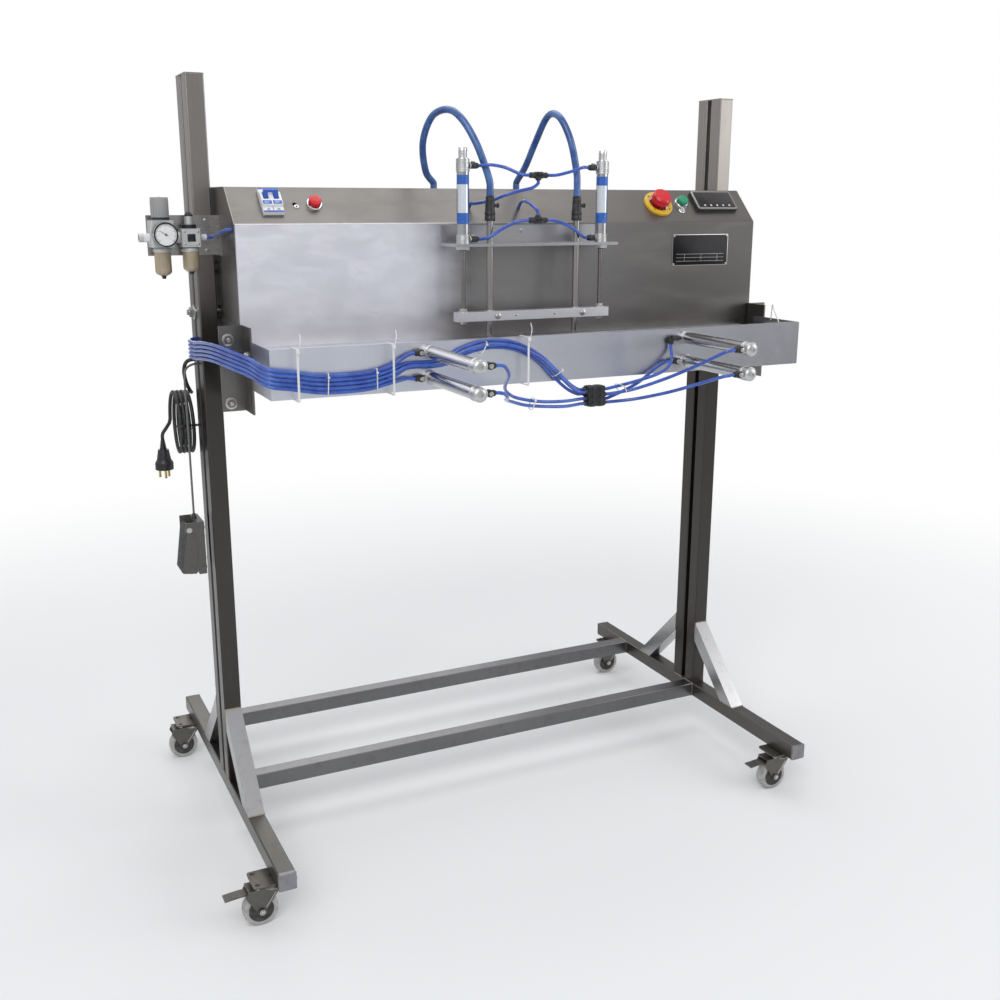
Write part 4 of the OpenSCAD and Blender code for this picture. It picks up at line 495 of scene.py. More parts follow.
FINISHES = {
    "sheet steel": (brushed, (0.40, 0.39, 0.375), 0.27, "X", 0.5, 1.0),
    # Painted shade: a darker, shaded copy of the sheet steel for the side-facing end plates and beam
    # brackets.
    "side steel": (brushed, (0.21, 0.20, 0.19), 0.29, "Z", 0.5, 1.0),
    "plate steel": (brushed, (0.46, 0.46, 0.48), 0.30, "X", 0.3, 0.6),
    # Painted reflection and painted shade: the beam's front is a bright bluish painted reflection on the left
    # that fades into painted shade towards the right end.
    "beam steel": (
        brushed, (0.74, 0.76, 0.84), 0.31, "X", 0.5, 0.8, 1.0, 0.0, ("X", -0.35, 0.62, (0.30, 0.30, 0.32)),
    ),
    # Painted shade: the posts darken downwards below the head, from 1.32 m to 0.86 m.
    "post steel": (
        brushed, (0.30, 0.28, 0.26), 0.31, "Z", 0.5, 0.5, 1.0, 0.3, ("Z", 1.32, 0.86, (0.052, 0.048, 0.045)),
    ),
    # Painted highlight: the feet's front end faces are a paler bluish painted reflection.
    "foot steel": (
        brushed, (0.125, 0.12, 0.11), 0.34, "Y", 0.8, 0.6, 1.0, 0.4,
        ("Y", -0.326, -0.334, (0.32, 0.32, 0.345)),
    ),
    "bar steel": (brushed, (0.21, 0.21, 0.215), 0.33, "X", 0.7, 0.6, 1.0, 0.4),
    "brace steel": (brushed, (0.46, 0.46, 0.465), 0.30, "Z", 0.5, 0.5, 1.0, 0.3),
    "weld": (welded, (0.36, 0.34, 0.33)),
    "jaw bar": (brushed, (0.62, 0.62, 0.63), 0.34, "X", 0.2, 0.4, 0.7),
    "nozzle bar": (brushed, (0.74, 0.74, 0.77), 0.36, "X", 0.8, 0.9, 1.6),
    "barrel": (drawn, (0.50, 0.50, 0.505), 0.20, "Y"),
    "cap alloy": (cast, (0.58, 0.58, 0.58), 0.36, 900.0, 1.0, 0.2),
    "chrome": (drawn, (0.78, 0.78, 0.79), 0.09, "Z", 0.08),
    "rod steel": (drawn, (0.27, 0.25, 0.235), 0.16, "Z", 0.25),
    "zinc": (cast, (0.17, 0.16, 0.145), 0.40, 1400.0, 1.0, 0.2),
    "bolt zinc": (drawn, (0.56, 0.55, 0.52), 0.28, "Y", 0.3),
    "unit alloy": (cast, (0.60, 0.60, 0.59), 0.40, 1300.0, 0.4, 0.35),
    "grey cast": (cast, (0.20, 0.20, 0.19), 0.55, 1100.0, 0.0, 0.5),
    "switch grey": (cast, (0.085, 0.081, 0.076), 0.50, 1100.0, 0.0, 0.4),
    "knob grey": (moulded, (0.33, 0.33, 0.33), 0.48),
    "black nylon": (moulded, (0.018, 0.018, 0.02), 0.36, 2200.0, 0.14, 0.5),
    "black gloss": (moulded, (0.012, 0.012, 0.014), 0.16, 2600.0, 0.03, 0.2),
    "key grey": (moulded, (0.62, 0.62, 0.60), 0.42),
    "white plastic": (moulded, (0.76, 0.77, 0.78), 0.34),
    "tie white": (moulded, (0.70, 0.70, 0.68), 0.42, 1800.0, 0.1, 0.5),
    "breaker blue": (moulded, (0.025, 0.10, 0.46), 0.32),
    "red cap": (moulded, (0.60, 0.012, 0.02), 0.26, 2600.0, 0.05),
    "green cap": (moulded, (0.012, 0.26, 0.13), 0.28, 2600.0, 0.05),
    "collar yellow": (moulded, (0.68, 0.42, 0.02), 0.34),
    "blue tube": (hose_skin, (0.022, 0.062, 0.36), (0.05, 0.14, 0.52)),
    "blue hose": (hose_skin, (0.028, 0.075, 0.26), (0.075, 0.17, 0.40), 0.22),
    "tyre grey": (rubber, (0.38, 0.37, 0.355), 0.58, 0.5),
    "hub black": (rubber, (0.035, 0.035, 0.035), 0.5, 0.5),
    "sheath black": (rubber, (0.014, 0.014, 0.015), 0.45, 0.25),
    "sheath grey": (rubber, (0.13, 0.13, 0.125), 0.5, 0.3),
    "treadle rubber": (rubber, (0.05, 0.05, 0.05), 0.7, 0.6),
    "bowl": (clear_bowl, (0.52, 0.42, 0.27)),
    "seal cloth": (seal_cloth,),
    "silicone": (silicone, (0.55, 0.16, 0.07)),
    "sticker": (sticker,),
    "dial": (dial,),
    "glass": (glass,),
    "plate black": (brushed, (0.022, 0.022, 0.024), 0.30, "X", 0.2, 0.5, 0.5),
    "plate metal": (brushed, (0.42, 0.40, 0.37), 0.30, "X", 0.3, 0.7, 0.8),
    "brass": (drawn, (0.62, 0.44, 0.18), 0.24, "Z", 0.3),
    "core steel": (brushed, (0.24, 0.22, 0.20), 0.45, "X", 0.5, 0.3, 1.0),
    "copper": (drawn, (0.46, 0.18, 0.08), 0.32, "Y", 0.3),
    "dark face": (moulded, (0.006, 0.006, 0.008), 0.10, 2600.0, 0.02, 0.1),
    "dim segment": (moulded, (0.055, 0.035, 0.035), 0.20, 2600.0, 0.02, 0.1),
    "needle red": (moulded, (0.50, 0.02, 0.02), 0.30),
    "ink": (moulded, (0.02, 0.02, 0.025), 0.45),
    "head sheet": (panel_steel,),
    "nozzle steel": (
        two_tone, "Z", 1.2118, ((0.36, 0.345, 0.33), 0.16, 1.0), ((0.016, 0.016, 0.018), 0.38, 0.0),
    ),
    "wheel tone": (wheel_tone,),
}


def finish_of(name):
    """The material of that finish, made once."""
    found = bpy.data.materials.get(name)
    maker, *values = FINISHES[name]
    return found or maker(name, *values)


# ---- mesh helpers


def bevelled(part, edges, width, steps=2):
    bmesh.ops.bevel(
        part, geom=edges, offset=width * MM, offset_type="OFFSET", segments=steps, profile=0.5,
        affect="EDGES", clamp_overlap=True, material=-1,
    )


def box(low, high, edge=0.0, steps=2):
    """Block between two corners in millimetres, its edges rounded."""
    part = bmesh.new()
    bmesh.ops.create_cube(part, size=1.0)
    low, high = Vector(low) * MM, Vector(high) * MM
    bmesh.ops.scale(part, vec=high - low, verts=part.verts)
    bmesh.ops.translate(part, vec=(low + high) / 2, verts=part.verts)
    if edge:
        bevelled(part, list(part.edges), edge, steps)
    return part


def turned(profile, steps=40, edge=0.0):
    """Surface of revolution round Z from (radius, height) points in millimetres."""
    part = bmesh.new()
    verts = [part.verts.new((r * MM, 0, z * MM)) for r, z in profile]
    edges = [part.edges.new(pair) for pair in zip(verts, verts[1:])]
    bmesh.ops.spin(
        part, geom=verts + edges, cent=(0, 0, 0), axis=(0, 0, 1), dvec=(0, 0, 0), angle=2 * pi,
        steps=steps, use_merge=True, use_duplicate=False,
    )
    bmesh.ops.remove_doubles(part, verts=part.verts, dist=1e-6)
    bmesh.ops.dissolve_degenerate(part, dist=1e-7, edges=part.edges)
    if edge:
        sharp = [e for e in part.edges if len(e.link_faces) == 2 and e.calc_face_angle(0) > 0.7]
        bevelled(part, sharp, edge)
    return part


def washer(inner, outer, height, steps, edge=0.0):
    """Flat ring that stands out along Z."""
    return turned([(inner, 0), (outer, 0), (outer, height), (inner, height)], steps, edge)


def ring(major, minor, steps=40, sides=10):
    """Round ring about Z, in millimetres."""
    loop = [
        (major + minor * cos(a), minor * sin(a))
        for a in (2 * pi * i / sides for i in range(sides + 1))
    ]
    return turned(loop, steps)


def prism(outline, low, high, edge=0.0, steps=2):
    """Outline of (x, y) points in millimetres drawn up from low to high, its rims rounded."""
    part = bmesh.new()
    face = part.faces.new([part.verts.new((x * MM, y * MM, low * MM)) for x, y in outline])
    up = bmesh.ops.extrude_face_region(part, geom=[face])["geom"]
    bmesh.ops.translate(
        part, vec=(0, 0, (high - low) * MM), verts=[v for v in up if isinstance(v, bmesh.types.BMVert)]
    )
    if edge:
        rims = [e for e in part.edges if abs(e.verts[0].co.z - e.verts[1].co.z) < 1e-9]
        bevelled(part, rims, edge, steps)
    return part


def arc_outline(w, h, r, steps=5):
    """Outline of a rectangle with round corners, about its middle."""
    points = []
    for cx, cy, a0 in ((1, 1, 0), (-1, 1, 90), (-1, -1, 180), (1, -1, 270)):
        for i in range(steps + 1):
            a = radians(a0 + 90 * i / steps)
            points.append((cx * (w / 2 - r) + r * cos(a), cy * (h / 2 - r) + r * sin(a)))
    return points


def polygon(n, r, turn=0.0):
    return [on_circle(r, turn + 2 * pi * i / n) for i in range(n)]


def hex_bolt(af, head, washer=0.0):
    """Hexagon head with chamfered crown, on a washer, standing out along Z."""
    part = prism(polygon(6, af / sqrt(3)), washer, washer + head)
    top = [e for e in part.edges if all(v.co.z > (washer + head) * MM - 1e-7 for v in e.verts)]
    bevelled(part, top, head * 0.22, 2)
    if washer:
        join(part, turned([(0, 0), (af * 0.78, 0), (af * 0.78, washer), (0, washer)], 36, 0.25))
    return part


def pan_screw(r, head=0, recess=1):
    """Pan-head screw with a cross recess, standing out along Z; head and recess name its materials."""
    part = turned(
        [(0, 0), (r, 0), (r, r * 0.28), (r * 0.86, r * 0.52), (r * 0.5, r * 0.66), (0, r * 0.7)], 28,
    )
    for face in part.faces:
        face.material_index = head
    for turn in (0, pi / 2):
        slot = box((-r * 0.5, -r * 0.11, r * 0.6), (r * 0.5, r * 0.11, r * 0.74), r * 0.04, 1)
        bmesh.ops.rotate(slot, matrix=Matrix.Rotation(turn, 3, "Z"), verts=slot.verts)
        join(part, slot, material=recess)
    return part


def tube(points, r, radii=None, cyclic=False, res=3):
    """Round tube along points in metres, with its own UV map along its length."""
    curve = bpy.data.curves.new("line", "CURVE")
    curve.dimensions = "3D"
    spline = curve.splines.new("POLY")
    spline.points.add(len(points) - 1)
    for i, p in enumerate(points):
        spline.points[i].co = (*p, 1)
        spline.points[i].radius = radii[i] if radii else 1.0
    spline.use_cyclic_u = cyclic
    curve.bevel_depth = r * MM
    curve.bevel_resolution = res
    curve.use_fill_caps = not cyclic
    holder = bpy.data.objects.new("line", curve)
    bpy.context.scene.collection.objects.link(holder)
    bpy.context.view_layer.update()
    mesh = bpy.data.meshes.new_from_object(holder.evaluated_get(bpy.context.evaluated_depsgraph_get()))
    bpy.data.objects.remove(holder)
    bpy.data.curves.remove(curve)
    part = bmesh.new()
    part.from_mesh(mesh)
    bpy.data.meshes.remove(mesh)
    return part


def join(piece, part, place=None, material=None):
    """Moves a part to its place and adds it to a piece."""
    if place is not None:
        bmesh.ops.transform(part, matrix=place, verts=part.verts)
    if material is not None:
        for face in part.faces:
            face.material_index = material
    mesh = bpy.data.meshes.new("part")
    part.to_mesh(mesh)
    part.free()
    piece.from_mesh(mesh)
    bpy.data.meshes.remove(mesh)
    return piece


def finished(name, piece, body, finishes, angle=38.0, stands_for=()):
    """Turns a bmesh into a piece with its finishes, riding on its body."""
    bmesh.ops.remove_doubles(piece, verts=piece.verts, dist=1e-6)
    bmesh.ops.recalc_face_normals(piece, faces=piece.faces)
    mesh = bpy.data.meshes.new(name)
    piece.to_mesh(mesh)
    piece.free()
    for finish in finishes:
        mesh.materials.append(finish_of(finish))
    mesh.shade_smooth()
    mesh.set_sharp_from_angle(angle=radians(angle))
    made = bpy.data.objects.new(name, mesh)
    bpy.context.scene.collection.objects.link(made)
    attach(made, body)
    if stands_for:
        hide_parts(*stands_for)
    return made


def dress(finish, *nodes):
    """Gives CAD nodes their finish."""
    for name in nodes:
        mesh = NODES[name].data
        mesh.materials.clear()
        mesh.materials.append(finish_of(finish))


def smooth_line(points, steps=6):
    """Curved line through points in millimetres with straight ends, in metres of the frame."""
    p = [Vector(q) for q in points]
    line = []
    for i in range(len(p) - 1):
        for k in range(steps):
            t = k / steps
            if i in (0, len(p) - 2):
                line.append(p[i].lerp(p[i + 1], t))
                continue
            a, b, c, d = p[i - 1 : i + 3]
            line.append(
                0.5 * (
                    2 * b + (c - a) * t + (2 * a - 5 * b + 4 * c - d) * t * t + (3 * b - a - 3 * c + d) * t**3
                )
            )
    line.append(p[-1])
    return [at(*q) for q in line]


# ---- settings


def setting(name, description, default, unit):
    return FloatProperty(name=name, description=description, default=default, unit=unit)


class SealerStage(bpy.types.PropertyGroup):
    """Camera, floor and light."""

    lens: setting("Lens", "Focal length of the camera", 41.05, "CAMERA")
    floor_colour: FloatVectorProperty(
        name="Floor", description="Colour of the pale floor", subtype="COLOR", default=(0.84, 0.84, 0.84)
    )
    key_power: setting("Key light", "Power of the large soft light", 46.0, "POWER")
    fill_power: setting("Fill light", "Power of the fill light", 24.0, "POWER")


class SealerTubes(bpy.types.PropertyGroup):
    """Air tubes, hoses and leads."""

    air_diameter: setting("Air tube", "Outside diameter of the air tubes", 0.006, "LENGTH")
    hose_diameter: setting("Vacuum hose", "Outside diameter of the vacuum hoses", 0.013, "LENGTH")
    mains_diameter: setting("Mains lead", "Diameter of the mains lead", 0.007, "LENGTH")
    pedal_diameter: setting("Pedal lead", "Diameter of the foot switch's lead", 0.004, "LENGTH")
    steps: IntProperty(
        name="Steps", description="Points for each span of a tube's line", default=6, min=3, max=12,
    )


class SealerTrim(bpy.types.PropertyGroup):
    """Small parts on the panel and the frame."""

    screw_radius: setting("Screw head", "Radius of the cover screws' heads", 0.0035, "LENGTH")
    weld_radius: setting("Weld bead", "Radius of the weld beads", 0.0014, "LENGTH")
    scale_marks: IntProperty(
        name="Gauge marks", description="Marks on the gauge's dial", default=41, min=11, max=81,
    )


# ---- stage


CAMERA_AT = (-0.9517, -2.0626, 1.245)
CAMERA_YAW, CAMERA_PITCH, CAMERA_ROLL = 25.83, 14.674, 0.148


class SEALER_OT_stage(bpy.types.Operator):
    """Makes the floor, the world, the soft lights and the camera"""

    bl_idname = "sealer.stage"
    bl_label = "Stage"

    def execute(self, context):
        props = context.scene.sealer_stage
        self.floor(props)
        self.world()
        middle = Vector((0.0, -0.05, 0.75))
        self.lamp("key", (-1.7, -2.6, 2.9), middle, (2.2, 2.2), props.key_power)
        self.lamp("fill", (2.6, -1.9, 1.9), middle, (1.8, 1.8), props.fill_power)
        self.lamp("top", (0.1, 0.5, 3.3), middle, (2.6, 2.0), props.fill_power)
        self.lamp("back", (0.4, 2.8, 2.0), middle, (2.0, 1.6), props.fill_power * 0.6)
        lens = bpy.data.cameras.new("camera")
        lens.lens, lens.sensor_width, lens.clip_end = props.lens, 36.0, 60.0
        camera = bpy.data.objects.new("camera", lens)
        camera.matrix_world = (
            Matrix.Translation(CAMERA_AT)
            @ spun(radians(-CAMERA_YAW))
            @ spun(radians(90 - CAMERA_PITCH), "X")
            @ spun(radians(CAMERA_ROLL))
        )
        context.scene.collection.objects.link(camera)
        context.scene.camera = camera
        context.scene.view_settings.view_transform = "Standard"
        return {"FINISHED"}

    def lamp(self, name, place, aim, size, power):
        data = bpy.data.lights.new(name, "AREA")
        data.shape, data.size, data.size_y, data.energy = "RECTANGLE", *size, power
        lamp = bpy.data.objects.new(name, data)
        turn = (aim - Vector(place)).to_track_quat("-Z", "Y").to_matrix().to_4x4()
        lamp.matrix_world = Matrix.Translation(place) @ turn
        bpy.context.scene.collection.objects.link(lamp)

    def floor(self, props):
        piece = bmesh.new()
        bmesh.ops.create_circle(piece, cap_ends=True, segments=96, radius=14.0)
        mesh = bpy.data.meshes.new("studio_floor")
        piece.to_mesh(mesh)
        piece.free()
        ground = bpy.data.objects.new("studio_floor", mesh)
        bpy.context.scene.collection.objects.link(ground)
        net = Net("floor")
        far = net.node("ShaderNodeVectorMath", {"operation": "LENGTH"}, {0: net.place()}, out="Value")
        cloud = net.noise(0.8, 3.0)
        shade = net.mix(cloud * 0.3, tuple(props.floor_colour), tuple(c * 0.97 for c in props.floor_colour))
        lit = net.node("ShaderNodeBsdfDiffuse", None, {"Color": shade, "Roughness": 0.5})
        glow = net.node("ShaderNodeEmission", None, {"Color": (1, 1, 1), "Strength": 1.0})
        seen = net.node("ShaderNodeLightPath", out="Is Camera Ray")
        share = net.step(far, 1.1, 3.2) * seen
        net._out(net.node("ShaderNodeMixShader", None, {0: share, 1: lit, 2: glow}))
        mesh.materials.append(net.material)

    def world(self):
        world = bpy.data.worlds.new("studio")
        bpy.context.scene.world = world
        world.use_nodes = True
        net = Net("studio", world.node_tree)
        way = net.node("ShaderNodeTexCoord", out="Generated")
        up = net.axis("Z", way)
        side = net.axis("X", way)
        level = net.step(up, -0.3, 0.9, 0.42, 0.66) + net.step(side, -0.9, 0.2, 0.22, 0.0)
        room = net.node("ShaderNodeCombineColor", None, {0: level, 1: level, 2: level * 1.03})
        path = {n: net.node("ShaderNodeLightPath", out=n) for n in
                ("Is Camera Ray", "Is Glossy Ray", "Is Transmission Ray")}
        seen = net.maths("MAXIMUM", path["Is Camera Ray"], path["Is Transmission Ray"])
        shown = net.mix(seen, room, (1.0, 1.0, 1.0))
        pale = net.node("ShaderNodeBackground", None, {"Color": shown, "Strength": 1.0})
        soft = net.node("ShaderNodeBackground", None, {"Color": (0.93, 0.96, 1.0), "Strength": 0.62})
        both = net.maths("MAXIMUM", seen, path["Is Glossy Ray"])
        mixed = net.node("ShaderNodeMixShader", None, {0: both, 1: soft, 2: pale})
        end = net.tree.nodes.new("ShaderNodeOutputWorld")
        net.tree.links.new(mixed.socket, end.inputs["Surface"])


# ---- tubes and leads

TUBE_PITCH = 7
TRUNK = [
    (-534, 0, 986), (-560, 0, 986), (-582, -4, 986), (-594, -25, 985), (-592, -60, 985), (-588, -120, 991),
    (-583, -186, 994), (-572, -245, 991), (-554, -305, 984), (-545, -344, 977), (-531, -359, 971),
    (-500, -359, 966), (-448, -358, 957), (-378, -358, 957), (-334, -358, 965),
]
TRUNK_ROW = (1, -1, 0, 2, -2)
LOOPS = [
    [
        (-300, -354, 982), (-258, -354, 982), (-230, -354, 985), (-205, -355, 1000), (-166, -356, 1011),
        (-127, -356, 1012), (-88, -356, 1003), (-47, -356, 981), (-15, -357, 952), (10, -358, 928),
        (30, -358, 916), (42, -358, 916),
    ],
    [
        (-300, -354, 974), (-258, -354, 974), (-228, -354, 977), (-203, -355, 989), (-166, -355, 999),
        (-127, -356, 1000), (-88, -356, 991), (-50, -356, 970), (-22, -357, 942), (5, -358, 919),
        (28, -358, 908), (42, -358, 908),
    ],
    [
        (-300, -362, 978), (-258, -362, 978), (-229, -362, 981), (-204, -363, 995), (-166, -364, 1005),
        (-127, -364, 1006), (-88, -364, 997), (-49, -364, 976), (-18, -365, 948), (8, -366, 924),
        (29, -366, 912), (42, -366, 912),
    ],
]
NOSE_LEFT, NOSE_RIGHT, REAR_LEFT = -286, 230, -230
NOSE_Y, REAR_Y = -357.5, -547
FEEDS = [
    (3, [(-305, -358, 994), (NOSE_LEFT - 6, NOSE_Y, 999), (NOSE_LEFT, NOSE_Y, 999)]),
    (4, [(-305, -358, 957), (NOSE_LEFT - 6, NOSE_Y, 956), (NOSE_LEFT, NOSE_Y, 956)]),
]
CROSSINGS = [
    [
        (REAR_LEFT, REAR_Y, 999), (REAR_LEFT + 6, REAR_Y, 999), (-212, -546, 996), (-194, -525, 978),
        (-172, -465, 948), (-140, -425, 927),
        (-105, -408, 915), (-60, -394, 906), (-10, -378, 901), (30, -364, 900), (42, -364, 900),
    ],
    [
        (REAR_LEFT, REAR_Y, 956), (REAR_LEFT + 6, REAR_Y, 956), (-212, -546, 953), (-194, -520, 941),
        (-172, -470, 929), (-140, -432, 917),
        (-105, -412, 906), (-60, -396, 898), (-10, -380, 892), (30, -364, 891), (42, -364, 891),
    ],
    [
        (76, -358, 914), (88, -358, 914), (150, -366, 926), (198, -372, 940), (218, -371, 958),
        (225, -360, 974), (NOSE_RIGHT - 5, NOSE_Y, 983), (NOSE_RIGHT - 5, NOSE_Y, 989),
    ],
    [
        (76, -358, 896), (88, -358, 896), (150, -358, 918), (190, -358, 944), (212, -358, 955),
        (NOSE_RIGHT - 6, NOSE_Y, 956), (NOSE_RIGHT, NOSE_Y, 956),
    ],
    [
        (76, -367, 906), (88, -367, 906), (130, -384, 914), (170, -430, 938), (195, -490, 968),
        (210, -538, 993), (220, -546, 998), (NOSE_RIGHT - 6, REAR_Y, 999), (NOSE_RIGHT, REAR_Y, 999),
    ],
    [
        (76, -367, 891), (88, -367, 891), (130, -386, 896), (170, -432, 912), (195, -490, 934),
        (210, -538, 952), (220, -546, 955), (NOSE_RIGHT - 6, REAR_Y, 956), (NOSE_RIGHT, REAR_Y, 956),
    ],
]
LIFT_RUNS = [
    [(-114, -232, 1306), (-109, -232, 1306), (-102, -241, 1307), (-90, -247, 1307), (-65, -246, 1303),
     (-34, -240, 1293), (-20, -238, 1291), (-12, -238, 1291)],
    [(22, -238, 1291), (29, -238, 1291), (44, -240, 1292), (68, -246, 1298), (90, -247, 1305),
     (102, -241, 1306), (109, -232, 1306), (114, -232, 1306)],
    [(-114, -232, 1179.5), (-108, -232, 1179.5), (-94, -244, 1184), (-72, -246, 1197), (-46, -245, 1208),
     (-20, -238, 1212), (-12, -238, 1212)],
    [(22, -238, 1212), (29, -238, 1212), (46, -244, 1209), (74, -246, 1197), (94, -244, 1184),
     (108, -232, 1179.5), (114, -232, 1179.5)],
    [(5, -238, 1282), (5, -238, 1277), (-8, -239, 1269), (-36, -238, 1263), (-58, -231, 1256),
     (-72, -212, 1248), (-84, -185, 1243), (-91, -162, 1241), (-92, -154.1, 1241.4), (-92, -145.6, 1232.9)],
    [(5, -238, 1221), (5, -238, 1226), (4, -230, 1233), (2, -213, 1241), (2, -190, 1246), (6, -168, 1244),
     (8, -157, 1238.5), (8, -148.5, 1230)],
]
HOSES = [
    [
        (-89, -232, 1252), (-89, -232, 1275), (-96, -230, 1301), (-112, -222, 1346), (-130, -202, 1386),
        (-144, -172, 1403), (-157, -130, 1393), (-161, -95, 1350), (-144, -65, 1300), (-122, -50, 1278),
        (-122, -50, 1263.5),
    ],
    [
        (89, -232, 1252), (89, -232, 1275), (88, -230, 1301), (78, -225, 1352), (68, -207, 1390),
        (63, -182, 1402), (60, -158, 1392), (58, -122, 1353), (56, -85, 1310), (54, -50, 1280),
        (54, -50, 1263.5),
    ],
]
MAINS = [
    (-534, 0, 962), (-560, 0, 962), (-584, 0, 962), (-597, 3, 957), (-601, 10, 940), (-596, 22, 916),
    (-587, 38, 899), (-582, 52, 893), (-582, 60, 893),
]
HANK_AT, HANK_Y, HANK_Z, HANK_PITCH, HANK_TURNS = (-582, 67, 835), 46, 58, 7.7, 4.25
PEDAL_LEAD = [
    (-534, 0, 953), (-560, 0, 953), (-584, 0, 953), (-599, -4, 946), (-604, -8, 930), (-604, -8, 880),
    (-604, -8, 800), (-604, -8, 720), (-604, -8, 672),
]


def shifted(points, up):
    return [(x, y, z + up) for x, y, z in points]


def hank_line(turn_steps=40):
    """The hank's points: turns side by side, hanging outside the post."""
    x, y, z = HANK_AT
    line = []
    for i in range(int(HANK_TURNS * turn_steps) + 1):
        a = i / turn_steps
        turn = 2 * pi * a
        line.append((x - a * HANK_PITCH, y + HANK_Y * sin(turn), z + HANK_Z * cos(turn)))
    out = x - HANK_TURNS * HANK_PITCH
    tail = ((0.3, 0, 1.3), (1.2, 0.5, 2.8), (2.1, 1, 4.2), (2.3, 1.1, 5), (2.3, 1.1, 6))
    return line + [(out - 7 * a, y + HANK_Y + 7 * b, z - 7 * c) for a, b, c in tail]


def cord_curve(name, line, diameter, finish):
    curve = bpy.data.curves.new(name, "CURVE")
    curve.dimensions = "3D"
    spline = curve.splines.new("POLY")
    spline.points.add(len(line) - 1)
    for point, place in zip(spline.points, line):
        point.co = (*place, 1)
    curve.bevel_depth = diameter / 2
    curve.bevel_resolution = 3
    curve.use_fill_caps = True
    curve.materials.append(finish_of(finish))
    made = bpy.data.objects.new(name, curve)
    bpy.context.scene.collection.objects.link(made)
    return made


class SEALER_OT_leads(bpy.types.Operator):
    """Makes the mains lead with its hank and plug, and the foot switch's lead"""

    bl_idname = "sealer.leads"
    bl_label = "Leads"

    def execute(self, context):
        props = context.scene.sealer_tubes
        line = smooth_line(MAINS, props.steps) + [at(*p) for p in hank_line()]
        lead = cord_curve("mains_cord", line, props.mains_diameter, "sheath black")
        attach(lead, "head")
        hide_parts("mains_lead", "mains_hank")
        end = hank_line()[-1]
        pins = self.plug(end)
        line = smooth_line(PEDAL_LEAD, props.steps)
        lead = cord_curve("pedal_cord", line, props.pedal_diameter, "sheath grey")
        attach(lead, "head")
        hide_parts("pedal_lead")
        self.hank_tie()
        return {"FINISHED"}

    def plug(self, end):
        """Brass pins, the grip's ridges and the cover's screw on the plug."""
        place = facing(*end, "-Z")
        pins = bmesh.new()
        for angle in (90, 210, 330):
            a = radians(angle)
            pin = turned([(0, 59.8), (2.45, 59.8), (2.45, 75.2), (1.9, 76.1), (0, 76.3)], 24)
            join(pins, pin, place @ moved(10 * cos(a), 10 * sin(a)))
        grip = bmesh.new()
        for i in range(5):
            join(grip, ring(3.9 + 0.62 * i, 0.55, 28, 8), place @ moved(z=3 + 3.6 * i), 0)
        for i in range(12):
            a = 2 * pi * i / 12
            rib = box((-0.5, -0.6, -7), (0.5, 0.6, 7), 0.35)
            turn = spun(a) @ moved(17.1, 0, 53)
            join(grip, rib, place @ turn, 0)
        join(grip, pan_screw(2.6, 1, 0), place @ moved(z=59.9), None)
        return [
            finished("plug_pins", pins, "head", ["brass"]),
            finished("plug_grip", grip, "head", ["black nylon", "bolt zinc"]),
        ]

    def hank_tie(self):
        """Wire tie round the hank's waist."""
        x, y, z = HANK_AT
        piece = bmesh.new()
        loop = [
            at(x - 16.4 + 21.6 * cos(a), y - HANK_Y + 4.6 * sin(a), z)
            for a in (2 * pi * i / 40 for i in range(40))
        ]
        for dz in (-1.2, 1.2):
            join(piece, tube([p + Vector((0, 0, dz * MM)) for p in loop], 0.7, cyclic=True, res=2))
        for side in (-1, 1):
            tail = [
                (x - 16, y - HANK_Y - 5, z), (x - 16 + 4 * side, y - HANK_Y - 9, z - 3),
                (x - 16 + 9 * side, y - HANK_Y - 11, z - 10),
            ]
            join(piece, tube(smooth_line(tail, 5), 0.7, res=2))
        finished("hank_tie", piece, "head", ["black gloss"])


class SEALER_OT_air_tubes(bpy.types.Operator):
    """Makes the blue air tubes and the two vacuum hoses"""

    bl_idname = "sealer.air_tubes"
    bl_label = "Air tubes"

    def execute(self, context):
        props = context.scene.sealer_tubes
        steps, r = props.steps, props.air_diameter / 2 / MM
        runs = [shifted(TRUNK, TRUNK_ROW[i] * TUBE_PITCH) + LOOPS[i] for i in range(3)]
        runs += [shifted(TRUNK, TRUNK_ROW[i] * TUBE_PITCH) + tail for i, tail in FEEDS]
        runs += CROSSINGS
        runs.append(
            [(-560, -63.3, 1183), (-554, -63.3, 1183), (-549, -76, 1184), (-548, -100, 1188),
             (-548, -135, 1194), (-546, -157, 1197), (-541, -165, 1198), (-532, -165, 1198)]
        )
        self.bundle("air_tube_runs", runs, r, steps, ("air_tubes",))
        self.bundle("lift_tube_runs", LIFT_RUNS, r, steps, ("lift_tubes",))
        for side, points in zip(("left", "right"), HOSES):
            piece = tube(smooth_line(points, steps + 4), props.hose_diameter / 2 / MM, res=5)
            hose = finished(f"vacuum_hose_{side}", piece, "head", ["blue hose"], 60)
            hose.parent = None
            del hose["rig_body"]
            at(0, -62, 1300)
            at(0, -229, 1300)
            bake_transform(hose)
        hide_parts("vacuum_hoses")
        return {"FINISHED"}

    def bundle(self, name, runs, r, steps, stands_for):
        piece = bmesh.new()
        for points in runs:
            join(piece, tube(smooth_line(points, steps), r))
        finished(name, piece, "head", ["blue tube"], 60, stands_for)


# ---- finishes of the CAD nodes

SIDES = ("left", "right")
CORNERS = [f"{end}_{side}" for end in ("front", "rear") for side in SIDES]


